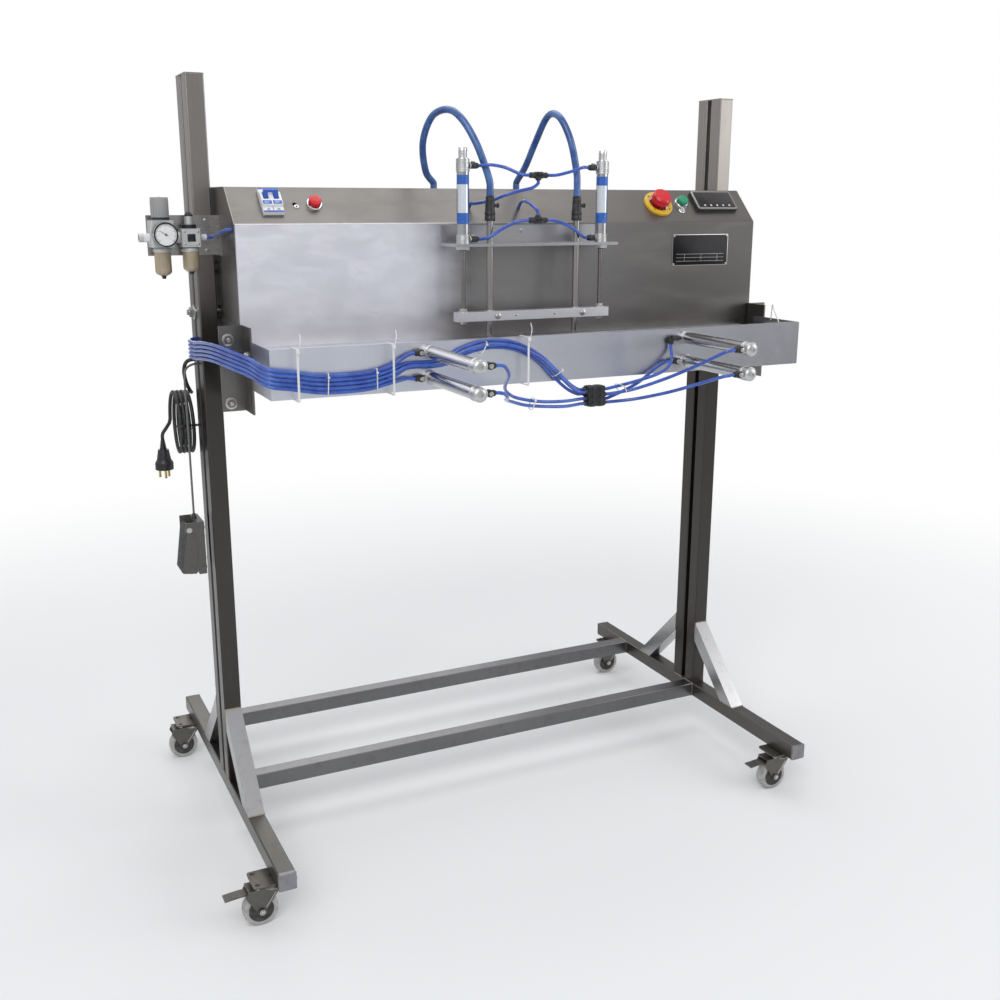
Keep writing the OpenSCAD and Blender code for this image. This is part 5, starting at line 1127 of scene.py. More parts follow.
DRESSED = {
    "head sheet": ["head_shell"],
    "sheet steel": ["rear_cover", "air_plate"],
    "side steel": ["end_plates", "beam_brackets"],
    "beam steel": ["front_beam"],
    "post steel": ["left_post", "right_post"],
    "foot steel": ["left_foot", "right_foot"],
    "bar steel": ["front_cross_bar", "rear_cross_bar"],
    "brace steel": ["braces"],
    "jaw bar": ["rear_jaw", "front_jaw"],
    "nozzle bar": ["nozzle_bar"],
    "plate steel": ["lift_plate"],
    "barrel": ["cylinder_barrels"],
    "cap alloy": ["cylinder_caps"],
    "chrome": ["panel_bezels", "toggle_lever"],
    "rod steel": ["lift_rods", "jaw_rods"],
    "nozzle steel": ["nozzle_tubes"],
    "bolt zinc": ["height_bolts"],
    "zinc": ["caster_plates"],
    "unit alloy": ["air_unit"],
    "knob grey": ["regulator_knob"],
    "black nylon": ["air_fittings", "controller", "mains_plug"],
    "black gloss": ["pressure_gauge"],
    "white plastic": ["breaker_body"],
    "tie white": ["cable_ties"],
    "breaker blue": ["breaker_lever"],
    "red cap": ["estop_button", "stop_button"],
    "green cap": ["start_button"],
    "blue tube": ["air_tubes", "lift_tubes", "vacuum_hoses"],
    "sheath black": ["mains_lead", "mains_hank"],
    "sheath grey": ["pedal_lead"],
    "grey cast": ["valve_block", "vacuum_pump"],
    "switch grey": ["pedal_base"],
    "treadle rubber": ["pedal_treadle"],
    "core steel": ["transformer"],
}


class SEALER_OT_finishes(bpy.types.Operator):
    """Gives each solid of the machine its material"""

    bl_idname = "sealer.finishes"
    bl_label = "Finishes"

    def execute(self, context):
        for finish, nodes in DRESSED.items():
            dress(finish, *nodes)
        dress("zinc", *(f"fork_{c}" for c in CORNERS), *(f"brake_{s}" for s in SIDES))
        dress("wheel tone", *(f"wheel_{c}" for c in CORNERS))
        return {"FINISHED"}


# ---- stand and casters

POST_IN, POST_OUT, POST_MID, POST_HALF = 543, 576, 559.5, 40
FOOT_BOTTOM, FOOT_TOP, FOOT_END, BRACE_REACH = 87, 119, 409, 155
REAR_BAR, POST_SEAM = 260, 1456
AXLE_Z, TRAIL, PLATE_Z = 31.5, 24, 84.0
SWIVELS = {
    "front_left": (-573.5, -352), "front_right": (559.5, -352), "rear_left": (-573.5, 352),
    "rear_right": (559.5, 352),
}


def weld(piece, a, b, r, pitch=2.2):
    """Scalloped weld bead along a straight corner."""
    a, b = Vector(a), Vector(b)
    steps = max(4, int((b - a).length / pitch) * 2)
    line = [at(*a.lerp(b, i / steps)) for i in range(steps + 1)]
    sizes = [1.12 if i % 2 else 0.82 for i in range(steps + 1)]
    sizes[0] = sizes[-1] = 0.35
    return join(piece, tube(line, r, sizes, res=1))


class SEALER_OT_frame_trim(bpy.types.Operator):
    """Makes the stand's weld beads and the seams round the feet's closing plates"""

    bl_idname = "sealer.frame_trim"
    bl_label = "Stand details"

    def execute(self, context):
        r = context.scene.sealer_trim.weld_radius / MM
        beads = bmesh.new()
        for side in (-1, 1):
            self.post_foot(beads, side, r)
            self.braces(beads, side, r)
            self.bars(beads, side, r)
            for y0, y1 in ((-POST_HALF, -7), (7, POST_HALF)):
                for x0, x1, ya, yb in (
                    (POST_IN, POST_OUT, y0, y0), (POST_IN, POST_OUT, y1, y1),
                    (POST_IN, POST_IN, y0, y1), (POST_OUT, POST_OUT, y0, y1),
                ):
                    weld(beads, (side * x0, ya, POST_SEAM), (side * x1, yb, POST_SEAM), r * 0.45, 3.0)
        finished("stand_welds", beads, "frame", ["weld"], 50)
        self.foot_ends()
        return {"FINISHED"}

    def post_foot(self, beads, side, r):
        for y0, y1 in ((-POST_HALF, -7), (7, POST_HALF)):
            for x in (POST_IN + 0.6, POST_OUT - 0.6):
                weld(beads, (side * x, y0, FOOT_TOP), (side * x, y1, FOOT_TOP), r)
            weld(beads, (side * POST_IN, 7 * (1 if y0 > 0 else -1), FOOT_TOP),
                 (side * POST_OUT, 7 * (1 if y0 > 0 else -1), FOOT_TOP), r * 0.7)

    def braces(self, beads, side, r):
        x0, x1 = POST_MID - 16, POST_MID + 16
        for end in (-1, 1):
            toe, top = end * (POST_HALF + BRACE_REACH), FOOT_TOP + BRACE_REACH
            weld(beads, (side * x0, toe, FOOT_TOP), (side * x1, toe, FOOT_TOP), r)
            weld(beads, (side * x0, end * POST_HALF, top), (side * x1, end * POST_HALF, top), r)
            for x in (x0, x1):
                weld(beads, (side * x, toe, FOOT_TOP), (side * x, toe - end * 45, FOOT_TOP), r * 0.8)
                weld(beads, (side * x, end * POST_HALF, top), (side * x, end * POST_HALF, top - 45), r * 0.8)

    def bars(self, beads, side, r):
        x = side * (POST_MID - 16)
        for y0 in (-POST_HALF, REAR_BAR):
            for y in (y0, y0 + 32):
                weld(beads, (x, y, FOOT_BOTTOM), (x, y, FOOT_TOP), r)
            weld(beads, (x, y0, FOOT_TOP), (x, y0 + 32, FOOT_TOP), r * 0.8)
            weld(beads, (x, y0, FOOT_BOTTOM), (x, y0 + 32, FOOT_BOTTOM), r * 0.8)

    def foot_ends(self):
        """Welded seam round each foot's closing plate."""
        seams = bmesh.new()
        for side in (-1, 1):
            for end in (-1, 1):
                y = end * (FOOT_END - 2)
                x0, x1 = side * (POST_MID - 16), side * (POST_MID + 16)
                for a, b in (
                    ((x0, y, FOOT_TOP), (x1, y, FOOT_TOP)), ((x0, y, FOOT_BOTTOM), (x1, y, FOOT_BOTTOM)),
                    ((x0, y, FOOT_BOTTOM), (x0, y, FOOT_TOP)), ((x1, y, FOOT_BOTTOM), (x1, y, FOOT_TOP)),
                ):
                    weld(seams, a, b, 0.5, 3.0)
        finished("foot_seams", seams, "frame", ["weld"], 50)


class SEALER_OT_casters(bpy.types.Operator):
    """Makes the casters' hubs, axle nuts, plate bolts and brake ribs"""

    bl_idname = "sealer.casters"
    bl_label = "Casters"

    def execute(self, context):
        for corner, (x, y) in SWIVELS.items():
            self.hub(corner, x - TRAIL, y)
            self.swivel(corner, x, y)
            self.plate(corner, x, y)
        for side in SIDES:
            self.brake(side, *SWIVELS[f"front_{side}"])
        return {"FINISHED"}

    def hub(self, corner, x, y):
        """Black hub with spokes and a bearing cover, and a groove line round the tyre."""
        piece = bmesh.new()
        for way in ("Y", "-Y"):
            place = facing(x, y, AXLE_Z, way)
            disc = turned(
                [(6.8, 11.9), (8.6, 12.35), (9.4, 12.0), (20.4, 11.9), (21.8, 12.3), (22.6, 11.5)], 48,
            )
            join(piece, disc, place, 0)
            for i in range(6):
                rib = box((9.2, -0.8, 11.4), (20.8, 0.8, 12.5), 0.3)
                join(piece, rib, place @ spun(pi * i / 3), 0)
            join(piece, turned([(23.4, 11.35), (24.4, 11.75), (25.4, 11.3)], 56), place, 1)
        for z in (-5.5, 0.0, 5.5):
            join(piece, ring(31.42, 0.16, 72, 6), facing(x, y, AXLE_Z, "Y") @ moved(z=z), 1)
        finished(f"hub_{corner}", piece, f"wheel_{corner}", ["hub black", "tyre grey"])

    def swivel(self, corner, x, y):
        """Axle nut and bolt head on the fork, the kingpin's nut and the ball race's rolled rim."""
        piece = bmesh.new()
        for way in ("Y", "-Y"):
            bolt = hex_bolt(10.5, 2.6, 0.0)
            join(piece, bolt, facing(x - TRAIL, y, AXLE_Z, way) @ moved(z=18.8))
            join(piece, turned([(0, 0), (2.9, 0), (2.9, 2.2), (2.3, 2.7), (0, 2.7)], 20),
                 facing(x - TRAIL, y, AXLE_Z, way) @ moved(z=21.2))
            ridge = tube(
                [at(x + dx, y + (16.1 if way == "Y" else -16.1), z)
                 for dx, z in ((-16, 38), (-6, 52), (2, 64))], 0.9,
            )
            join(piece, ridge)
        join(piece, ring(22.6, 0.8, 56, 8), facing(x, y, 74.4, "Z"))
        join(piece, ring(19.0, 0.6, 56, 8), facing(x, y, 70.9, "Z"))
        nut = hex_bolt(13, 3.4)
        join(piece, nut, facing(x, y, 71.0, "-Z"))
        finished(f"axle_{corner}", piece, f"swivel_{corner}", ["bolt zinc"])

    def plate(self, corner, x, y):
        """Four bolts through the top plate, with their nuts under it."""
        piece = bmesh.new()
        for dx in (-30.5, 30.5):
            for dy in (-19, 19):
                join(piece, hex_bolt(9, 3.6, 1.0), facing(x + dx, y + dy, PLATE_Z, "-Z"))
        finished(f"plate_bolts_{corner}", piece, "frame", ["bolt zinc"])

    def brake(self, side, x, y):
        """Grip ribs across the brake pedal."""
        piece = bmesh.new()
        for i in range(5):
            reach = 22.0 + 4.3 * i
            rib = box((-43.8 - reach, -9.5, -0.4), (-42.2 - reach, 9.5, 0.8), 0.3)
            join(piece, rib, facing(x, y, 68.0 - 2.5 * (reach - 14.7) / 29.3, "Z"))
        finished(f"brake_ribs_{side}", piece, f"brake_{side}", ["zinc"])


# ---- head and panel

HEAD_X, HEAD_FRONT, HEAD_BACK, HEAD_BOTTOM, HEAD_TOP = 538, -181, 27, 948, 1268
BREAKER, SMALL_LAMP, LAMP, ESTOP = (-465, 50), (-421, 41), (-388, 47), (323, 47)
TOGGLE, START, CONTROLLER = (374, 31), (381, 51), (458, 52)


class SEALER_OT_head_trim(bpy.types.Operator):
    """Makes the head's seams, cover screws, bracket studs and the bare name plate"""

    bl_idname = "sealer.head_trim"
    bl_label = "Head details"

    def execute(self, context):
        self.seams()
        self.screws(context.scene.sealer_trim.screw_radius / MM)
        self.plate()
        self.studs()
        return {"FINISHED"}

    def seams(self):
        """Ground weld seam where each end plate meets the bent sheet."""
        piece = bmesh.new()
        profile = [
            (HEAD_FRONT, HEAD_BOTTOM), (HEAD_FRONT, CREASE_Z), (-119, HEAD_TOP), (HEAD_BACK, HEAD_TOP),
            (HEAD_BACK, HEAD_BOTTOM),
        ]
        for side in (-1, 1):
            for (y0, z0), (y1, z1) in zip(profile, profile[1:]):
                weld(piece, (side * (HEAD_X - 0.9), y0, z0), (side * (HEAD_X - 0.9), y1, z1), 0.45, 4.0)
        finished("head_seams", piece, "head", ["sheet steel"], 50)

    def screws(self, r):
        """Screws of the rear cover: on its back, under it and beside its ends."""
        piece = bmesh.new()
        for i in range(8):
            x = -500 + 1000 * i / 7
            for z in (HEAD_TOP - 12, HEAD_BOTTOM + 12):
                join(piece, pan_screw(r), facing(x, HEAD_BACK, z, "Y"))
        for i in range(6):
            join(piece, pan_screw(r), facing(-480 + 960 * i / 5, -150, HEAD_BOTTOM, "-Z"))
        for x in (-505, 505):
            for z in (1040, 1170):
                join(piece, pan_screw(r), facing(x, HEAD_BACK, z, "Y"))
        finished("cover_screws", piece, "head", ["bolt zinc", "black gloss"])

    def plate(self):
        """Bare name plate: a black field in a metal rim with thin pale rules, held by four rivets."""
        place = facing(407, HEAD_FRONT, 1151, "-Y")
        piece = bmesh.new()
        join(piece, prism(arc_outline(136, 62, 2.5), -0.2, 0.9, 0.3), place, 0)
        join(piece, prism(arc_outline(133, 59, 1.2), 0.7, 1.15, 0.1), place, 1)
        for i in range(3):
            line = box((-58, -0.25, 0.8), (58, 0.25, 1.25))
            join(piece, line, place @ moved(y=-8 - 7 * i), 2)
        for x in (-38, 2, 42):
            join(piece, box((x - 0.25, -22, 0.8), (x + 0.25, -8, 1.25)), place, 2)
        for x in (-64, 64):
            for y in (-27.5, 27.5):
                rivet = turned([(0, 0.8), (2.0, 0.8), (1.9, 1.5), (1.2, 2.0), (0, 2.15)], 20)
                join(piece, rivet, place @ moved(x, y), 2)
        finished("name_plate", piece, "head", ["plate metal", "plate black", "bolt zinc"])

    def studs(self):
        """Washers and stud ends on the bolts of the beam's brackets."""
        piece = bmesh.new()
        for side in (-1, 1):
            for z in (1016, 907):
                join(piece, washer(6.6, 10.5, 1.2, 36, 0.2),
                     facing(side * 560, -186, z, "-Y"))
                join(piece, turned([(0, 4), (3.8, 4), (3.8, 6.4), (3.1, 7.2), (0, 7.2)], 24),
                     facing(side * 560, -186, z, "-Y"))
            for z in (960, 990):
                join(piece, hex_bolt(10, 4, 1.0), facing(side * 535, -212, z, "X" if side > 0 else "-X"))
        finished("bracket_studs", piece, "head", ["bolt zinc"])


class SEALER_OT_panel_trim(bpy.types.Operator):
    """Makes the breaker's and controller's faces, the rims, the yellow collar and the toggle's washer"""

    bl_idname = "sealer.panel_trim"
    bl_label = "Control slope"

    def execute(self, context):
        self.breaker()
        self.collar()
        self.rims()
        self.controller()
        return {"FINISHED"}

    def breaker(self):
        place = on_slope(*BREAKER)
        piece = bmesh.new()
        for x in (-1, 1):
            for y in (-1, 1):
                join(piece, prism(arc_outline(16.6, 11, 1), 6.9, 7.5, 0.2),
                     place @ moved(x * 8.9, y * 21.6), 0)
                join(piece, turned([(0, 7.4), (3.1, 7.4), (3.1, 7.8), (2.7, 8.1), (0, 8.1)], 24),
                     place @ moved(x * 8.9, y * 22), 2)
                join(piece, box((-2.6, -0.35, 8.0), (2.6, 0.35, 8.25), 0.1),
                     place @ moved(x * 8.9, y * 22) @ spun(0.6), 3)
        join(piece, box((-0.3, -27.8, 6.9), (0.3, 27.8, 7.35)), place, 3)
        for x in (-1, 1):
            band = prism(arc_outline(15.8, 8.2, 0.8), 11.8, 12.35, 0.12)
            join(piece, band, place @ moved(x * 8.9, -9.6), 1)
            for i in range(3):
                rule = box((-5.5, -0.28, 12.3), (5.5 - 2.4 * i, 0.28, 12.45))
                join(piece, rule, place @ moved(x * 8.9, -7.6 - 2.0 * i), 0)
        for y in (-26, 26):
            join(piece, prism(arc_outline(35.4, 3.4, 0.6), 6.9, 7.6, 0.15), place @ moved(y=y), 1)
        finished(
            "breaker_face", piece, "head",
            ["white plastic", "breaker blue", "bolt zinc", "dark face"],
        )

    def collar(self):
        """Yellow collar over the emergency stop's bezel, and the turning arrows on its head."""
        place = on_slope(*ESTOP)
        piece = bmesh.new()
        join(piece, turned([
            (20.5, 5.1), (21.5, 5.9), (28.6, 5.7), (30.2, 4.6), (30.5, 3.2), (30.5, 0.1),
        ], 64), place, 0)
        for i in range(4):
            a = pi / 4 + pi * i / 2
            mark = prism([(-2.6, -1.6), (2.6, -1.6), (0, 2.0)], 5.75, 6.15, 0.08)
            join(piece, mark, place @ spun(a) @ moved(y=25.2), 1)
        finished("estop_collar", piece, "head", ["collar yellow", "ink"])
        head = bmesh.new()
        join(
            head, turned([(18.4, 11.8), (19.25, 12.5), (19.25, 18.4), (18.2, 20.6), (16.4, 21.6)], 56),
            place, 0,
        )
        for i in range(3):
            turn = place @ spun(2 * pi * i / 3)
            arc = [on_circle(12.4, radians(20 + 8 * k)) for k in range(8)]
            inner = [on_circle(10.6, radians(76 - 8 * k)) for k in range(8)]
            join(head, prism(arc + inner, 26.6, 27.05), turn, 1)
            a = radians(82)
            tip = [on_circle(9.0, a), on_circle(14.0, a), on_circle(11.5, a + 0.28)]
            join(head, prism(tip, 26.6, 27.05), turn, 1)
        finished("estop_cap", head, "estop_button", ["red cap", "white plastic"])

    def rims(self):
        """Chrome rims of the two buttons, their domed caps, the toggle's washer and a small lamp."""
        rims = bmesh.new()
        for x, s in (START, LAMP):
            rim = [(11.3, 2.9), (11.9, 3.7), (13.2, 3.6), (14.3, 2.5), (14.7, 0.9), (14.7, 0.05)]
            join(rims, turned(rim, 48), on_slope(x, s))
        join(rims, washer(3.3, 7.2, 0.9, 32, 0.2), on_slope(*TOGGLE))
        for z in (3.6, 4.3, 5.0, 5.6):
            join(rims, ring(3.0, 0.16, 28, 6), on_slope(TOGGLE[0], TOGGLE[1], z))
        join(
            rims, turned([(2.2, 0), (4.4, 0), (4.2, 1.1), (3.4, 1.5), (2.2, 1.4)], 28),
            on_slope(*SMALL_LAMP),
        )
        finished("button_rims", rims, "head", ["chrome"])
        lamp = turned([(0, 1.9), (1.4, 1.8), (2.3, 1.1), (2.3, 0.1)], 24)
        piece = bmesh.new()
        join(piece, lamp, on_slope(*SMALL_LAMP))
        finished("small_lamp", piece, "head", ["dark face"])
        for (x, s), body, finish, slot in (
            (START, "start_button", "green cap", "green_plastic"),
            (LAMP, "stop_button", "red cap", "red_plastic"),
        ):
            cap = turned([(0, 13.3), (5.5, 13.15), (9.0, 12.7), (10.4, 12.0), (11.05, 11.0), (11.1, 6.3)], 44)
            piece = bmesh.new()
            join(piece, cap, on_slope(x, s))
            finished(f"{body}_cap", piece, body, [finish], 50)

    def controller(self):
        """Silver bezel, black window with unlit digits, and five keys in a row."""
        place = on_slope(*CONTROLLER)
        piece = bmesh.new()
        bezel = prism(arc_outline(96.6, 48.6, 3.0), 6.4, 9.5, 0.7)
        join(piece, bezel, place, 0)
        join(piece, prism(arc_outline(89, 41, 1.6), 9.2, 9.9, 0.2), place, 1)
        for row, (y, w, h, n) in enumerate(((7.2, 7.4, 13.0, 4), (-6.4, 5.0, 8.6, 4))):
            for i in range(n):
                cell = place @ moved((-20 + (w + 3.4) * i + 5 * row), y)
                for sx, sy, a, b in (
                    (0, h / 2, w * 0.62, 1.1), (0, 0, w * 0.62, 1.1), (0, -h / 2, w * 0.62, 1.1),
                    (-w / 2.4, h / 4, 1.1, h * 0.36), (w / 2.4, h / 4, 1.1, h * 0.36),
                    (-w / 2.4, -h / 4, 1.1, h * 0.36), (w / 2.4, -h / 4, 1.1, h * 0.36),
                ):
                    join(piece, box((sx - a / 2, sy - b / 2, 9.85), (sx + a / 2, sy + b / 2, 9.98)), cell, 2)
        for i in range(5):
            key = turned([(0, 10.5), (1.6, 10.45), (2.2, 10.1), (2.3, 9.7)], 24)
            join(piece, key, place @ moved(-30 + 15 * i, -15.8), 3)
        for i in range(3):
            lamp = turned([(0, 10.15), (0.8, 10.1), (0.9, 9.8)], 16)
            join(piece, lamp, place @ moved(-36, 11 - 6 * i), 2)
        finished(
            "controller_face", piece, "head",
            ["plate metal", "dark face", "dim segment", "key grey"],
        )


# ---- cylinders, nozzles and jaws

CLAMP_X, CLAMP_Z = (-258, 258), (956, 999)
CLAMPS = [(x, z) for x in CLAMP_X for z in CLAMP_Z]
BEAM_FRONT, CLAMP_L, NOSE_L, CAP_L, CYL_R, CAP_R = -350, 208, 15, 22, 11, 12
LIFT_X, LIFT_Y, LIFT_TOP, LIFT_L = 142, -232, 1172, 145
NOZZLE_X, NOZZLE_TIP, NOZZLE_TOP = 89, 1004, 1212
JAW_MID, JAW_TOP, REAR_FACE, FRONT_FACE, ROD_PLATE_Y = 977.5, 1000, -222, -272, -300
BAR_TOP, BAR_BOTTOM, BAR_MID = 1051, 1034, 1042.5


def crimped(piece, place, length, material=0):
    """Rolled crimps where a cylinder's tube is closed on its two caps, with a ring at each joint."""
    for z in (NOSE_L - 3.2, NOSE_L - 6.6, length - CAP_L + 3.2, length - CAP_L + 6.6):
        groove = turned([
            (CAP_R - 0.25, z - 1.5), (CAP_R + 0.28, z - 1.1), (CAP_R - 0.05, z - 0.4),
            (CAP_R - 0.05, z + 0.4),
            (CAP_R + 0.28, z + 1.1), (CAP_R - 0.25, z + 1.5),
        ], 48)
        join(piece, groove, place, material)
    for z in (NOSE_L, length - CAP_L):
        join(piece, ring(CYL_R + 0.35, 0.35, 48, 8), place @ moved(z=z), material)


def wrap(r, low, high, start=0.0, sweep=2 * pi, steps=48):
    """Film round a cylinder with its own UV map: u round it, v along it."""
    part = bmesh.new()
    layer = part.loops.layers.uv.new("UVMap")
    rows = [
        [part.verts.new((r * MM * cos(a), r * MM * sin(a), z * MM)) for z in (low, high)]
        for a in (start + sweep * i / steps for i in range(steps + 1))
    ]
    for i in range(steps):
        (a, b), (d, c) = rows[i], rows[i + 1]
        face = part.faces.new((a, d, c, b))
        for loop, uv in zip(
            face.loops, ((i / steps, 0), ((i + 1) / steps, 0), ((i + 1) / steps, 1), (i / steps, 1)),
        ):
            loop[layer].uv = uv
    return part


class SEALER_OT_cylinders(bpy.types.Operator):
    """Makes the crimps, rods' wipers, top nuts and printed bands of the six cylinders"""

    bl_idname = "sealer.cylinders"
    bl_label = "Cylinders"

    def execute(self, context):
        crimps = bmesh.new()
        for x, z in CLAMPS:
            place = facing(x, BEAM_FRONT, z, "-Y")
            crimped(crimps, place, CLAMP_L)
            dome = turned(
                [(12.15, 202.6), (11.9, 204.6), (10.6, 206.8), (8.4, 208.3), (5.4, 209.2), (0, 209.5)], 48,
            )
            join(crimps, dome, place)
            join(crimps, turned([(2.2, 209.0), (4.4, 209.0), (4.2, 210.0), (2.6, 210.2)], 28), place)
            join(crimps, hex_bolt(19, 3.4), place)
        for x in (-LIFT_X, LIFT_X):
            place = facing(x, LIFT_Y, LIFT_TOP, "Z")
            crimped(crimps, place, LIFT_L)
        finished("cylinder_crimps", crimps, "head", ["cap alloy"])
        self.top_nuts()
        self.bands()
        self.wipers()
        return {"FINISHED"}

    def top_nuts(self):
        """Threaded necks above the lift cylinders, chrome, with a slotted collar."""
        piece = bmesh.new()
        for x in (-LIFT_X, LIFT_X):
            place = facing(x, LIFT_Y, LIFT_TOP + LIFT_L, "Z")
            for i in range(7):
                join(piece, ring(7.5, 0.28, 40, 6), place @ moved(z=2.2 + 1.5 * i))
            join(piece, turned([(7.4, 12.6), (8.0, 13.0), (8.0, 18.4), (7.4, 19.25), (0, 19.3)], 40), place)
            join(piece, washer(7.4, 10.2, 1.6, 40, 0.25), place)
            for i in range(2):
                flat = box((-2.0, 7.2, 13.4), (2.0, 8.2, 18.2), 0.2)
                join(piece, flat, place @ spun(pi * i + 0.6))
        finished("lift_necks", piece, "head", ["chrome"])

    def bands(self):
        """Printed films on the two lift cylinders, on the side that faces the operator."""
        piece = bmesh.new()
        for x in (-LIFT_X, LIFT_X):
            place = facing(x, LIFT_Y, LIFT_TOP, "Z")
            join(piece, wrap(CYL_R + 0.15, 34, 118, radians(170), radians(200)), place)
        finished("cylinder_films", piece, "head", ["sticker"], 60)

    def wipers(self):
        """Rod wipers and lock nuts under the lift plate and behind the beam."""
        piece = bmesh.new()
        for x in (-LIFT_X, LIFT_X):
            join(piece, turned([(4.3, 0), (6.4, 0), (6.0, 1.3), (4.5, 1.8)], 36),
                 facing(x, LIFT_Y, LIFT_TOP - 11.05, "-Z"), 1)
        for x, z in CLAMPS:
            join(
                piece, turned([(4.3, 0), (6.4, 0), (6.0, 1.3), (4.5, 1.8)], 36),
                facing(x, BEAM_FRONT + 8.05, z, "Y"), 1,
            )
        finished("rod_wipers", piece, "head", ["zinc", "black nylon"])


class SEALER_OT_nozzles(bpy.types.Operator):
    """Makes the nozzle clamps, tips, hose collars and the nuts on the lift rods"""

    bl_idname = "sealer.nozzles"
    bl_label = "Nozzles"

    def execute(self, context):
        metal = bmesh.new()
        for x in (-NOZZLE_X, NOZZLE_X):
            join(
                metal, turned([(6.05, 0), (6.05, 0.6), (5.2, 0.05), (5.0, -0.1)], 36),
                facing(x, LIFT_Y, NOZZLE_TIP, "Z"),
            )
            join(metal, washer(6.1, 9.4, 1.4, 36, 0.3), facing(x, LIFT_Y, BAR_TOP, "Z"))
            clamp = hex_bolt(8, 3.2, 0.8)
            join(metal, clamp, facing(x + 11, LIFT_Y - 10.5, BAR_MID, "-Y"))
        for x in (-LIFT_X, LIFT_X):
            join(metal, hex_bolt(13, 5.0, 1.2), facing(x, LIFT_Y, BAR_TOP, "Z"))
            join(metal, hex_bolt(11, 4.2, 1.0), facing(x, LIFT_Y, BAR_BOTTOM, "-Z"))
        for x in (-40, 40):
            join(metal, pan_screw(2.4), facing(x, LIFT_Y - 10.5, BAR_MID, "-Y"), None)
        finished("nozzle_clamps", metal, "nozzles", ["bolt zinc", "black gloss"])
        sleeves = bmesh.new()
        for x in (-NOZZLE_X, NOZZLE_X):
            place = facing(x, LIFT_Y, NOZZLE_TOP, "Z")
            join(sleeves, turned([
                (9.0, -1.0), (9.6, 0.2), (9.6, 6.0), (9.0, 7.0), (9.0, 9.0), (9.7, 10.0), (9.7, 14.0),
                (9.2, 15.0),
            ], 44), place, 0)
            for z in (30, 33, 36):
                join(sleeves, ring(8.1, 0.5, 44, 8), place @ moved(z=z), 0)
            spigot = turned([(0, 0), (3.4, 0), (3.4, 6.4), (4.4, 6.8), (4.4, 8.4), (3.0, 9.2), (0, 9.2)], 28)
            join(sleeves, spigot, facing(x + 8, LIFT_Y, NOZZLE_TOP + 26, "X"), 0)
            join(sleeves, turned([(6.6, 40), (7.7, 40.3), (7.7, 42.2), (6.6, 43)], 40), place, 0)
        finished("hose_collars", sleeves, "nozzles", ["black nylon"])
        return {"FINISHED"}


class SEALER_OT_jaw_trim(bpy.types.Operator):
    """Makes the cloth over the sealing band, the silicone strip and the jaws' screws"""

    bl_idname = "sealer.jaw_trim"
    bl_label = "Jaws"

    def execute(self, context):
        rear = bmesh.new()
        cloth = box((-499, REAR_FACE - 0.11, JAW_MID - 10), (499, REAR_FACE + 0.4, JAW_MID + 10), 0.1)
        join(rear, cloth, IN_ROW, 0)
        for z in (JAW_MID - 14, JAW_MID + 14):
            bar = box((-498, REAR_FACE + 4.2, z - 3.4), (498, REAR_FACE + 5.2, z + 3.4), 0.3)
            join(rear, bar, IN_ROW, 1)
            for i in range(13):
                join(rear, pan_screw(2.2, 1, 1), facing(-486 + 81 * i, REAR_FACE + 4.2, z, "-Y"), None)
        for x in (-497, 497):
            join(rear, box((x - 3, REAR_FACE - 0.15, JAW_MID - 8), (x + 3, REAR_FACE + 2, JAW_MID + 8), 0.12),
                 IN_ROW, 2)
        finished("rear_jaw_cloth", rear, "head", ["seal cloth", "jaw bar", "copper"])
        front = bmesh.new()
        strip = box((-499.5, FRONT_FACE - 1.0, JAW_MID - 7.8), (499.5, FRONT_FACE + 0.11, JAW_MID + 7.8), 0.1)
        join(front, strip, IN_ROW, 0)
        for i in range(9):
            join(front, pan_screw(2.8, 1, 1), facing(-480 + 120 * i, -294, JAW_MID, "-Y"), None)
            join(front, pan_screw(2.4, 1, 1), facing(-480 + 120 * i, -283, JAW_TOP, "Z"), None)
        finished("front_jaw_strip", front, "jaw", ["silicone", "bolt zinc"])
        plates = bmesh.new()
        for x in CLAMP_X:
            for z in CLAMP_Z:
                join(plates, hex_bolt(12, 4.0, 1.0), facing(x, ROD_PLATE_Y, z, "-Y"))
            for dx in (-13, 13):
                join(plates, pan_screw(3.0), facing(x + dx, ROD_PLATE_Y, JAW_MID, "-Y"), None)
        finished("rod_plate_bolts", plates, "jaw", ["bolt zinc", "black gloss"])
        return {"FINISHED"}


# ---- air unit and fittings

UNIT_Y, REG_X, OIL_X, PORT_Z = -63.3, -637, -589, 1183
REG_Z0, REG_TOP, OIL_TOP, GAUGE_Y, GAUGE_Z = 1167, 1212, 1198, -89.3, 1189


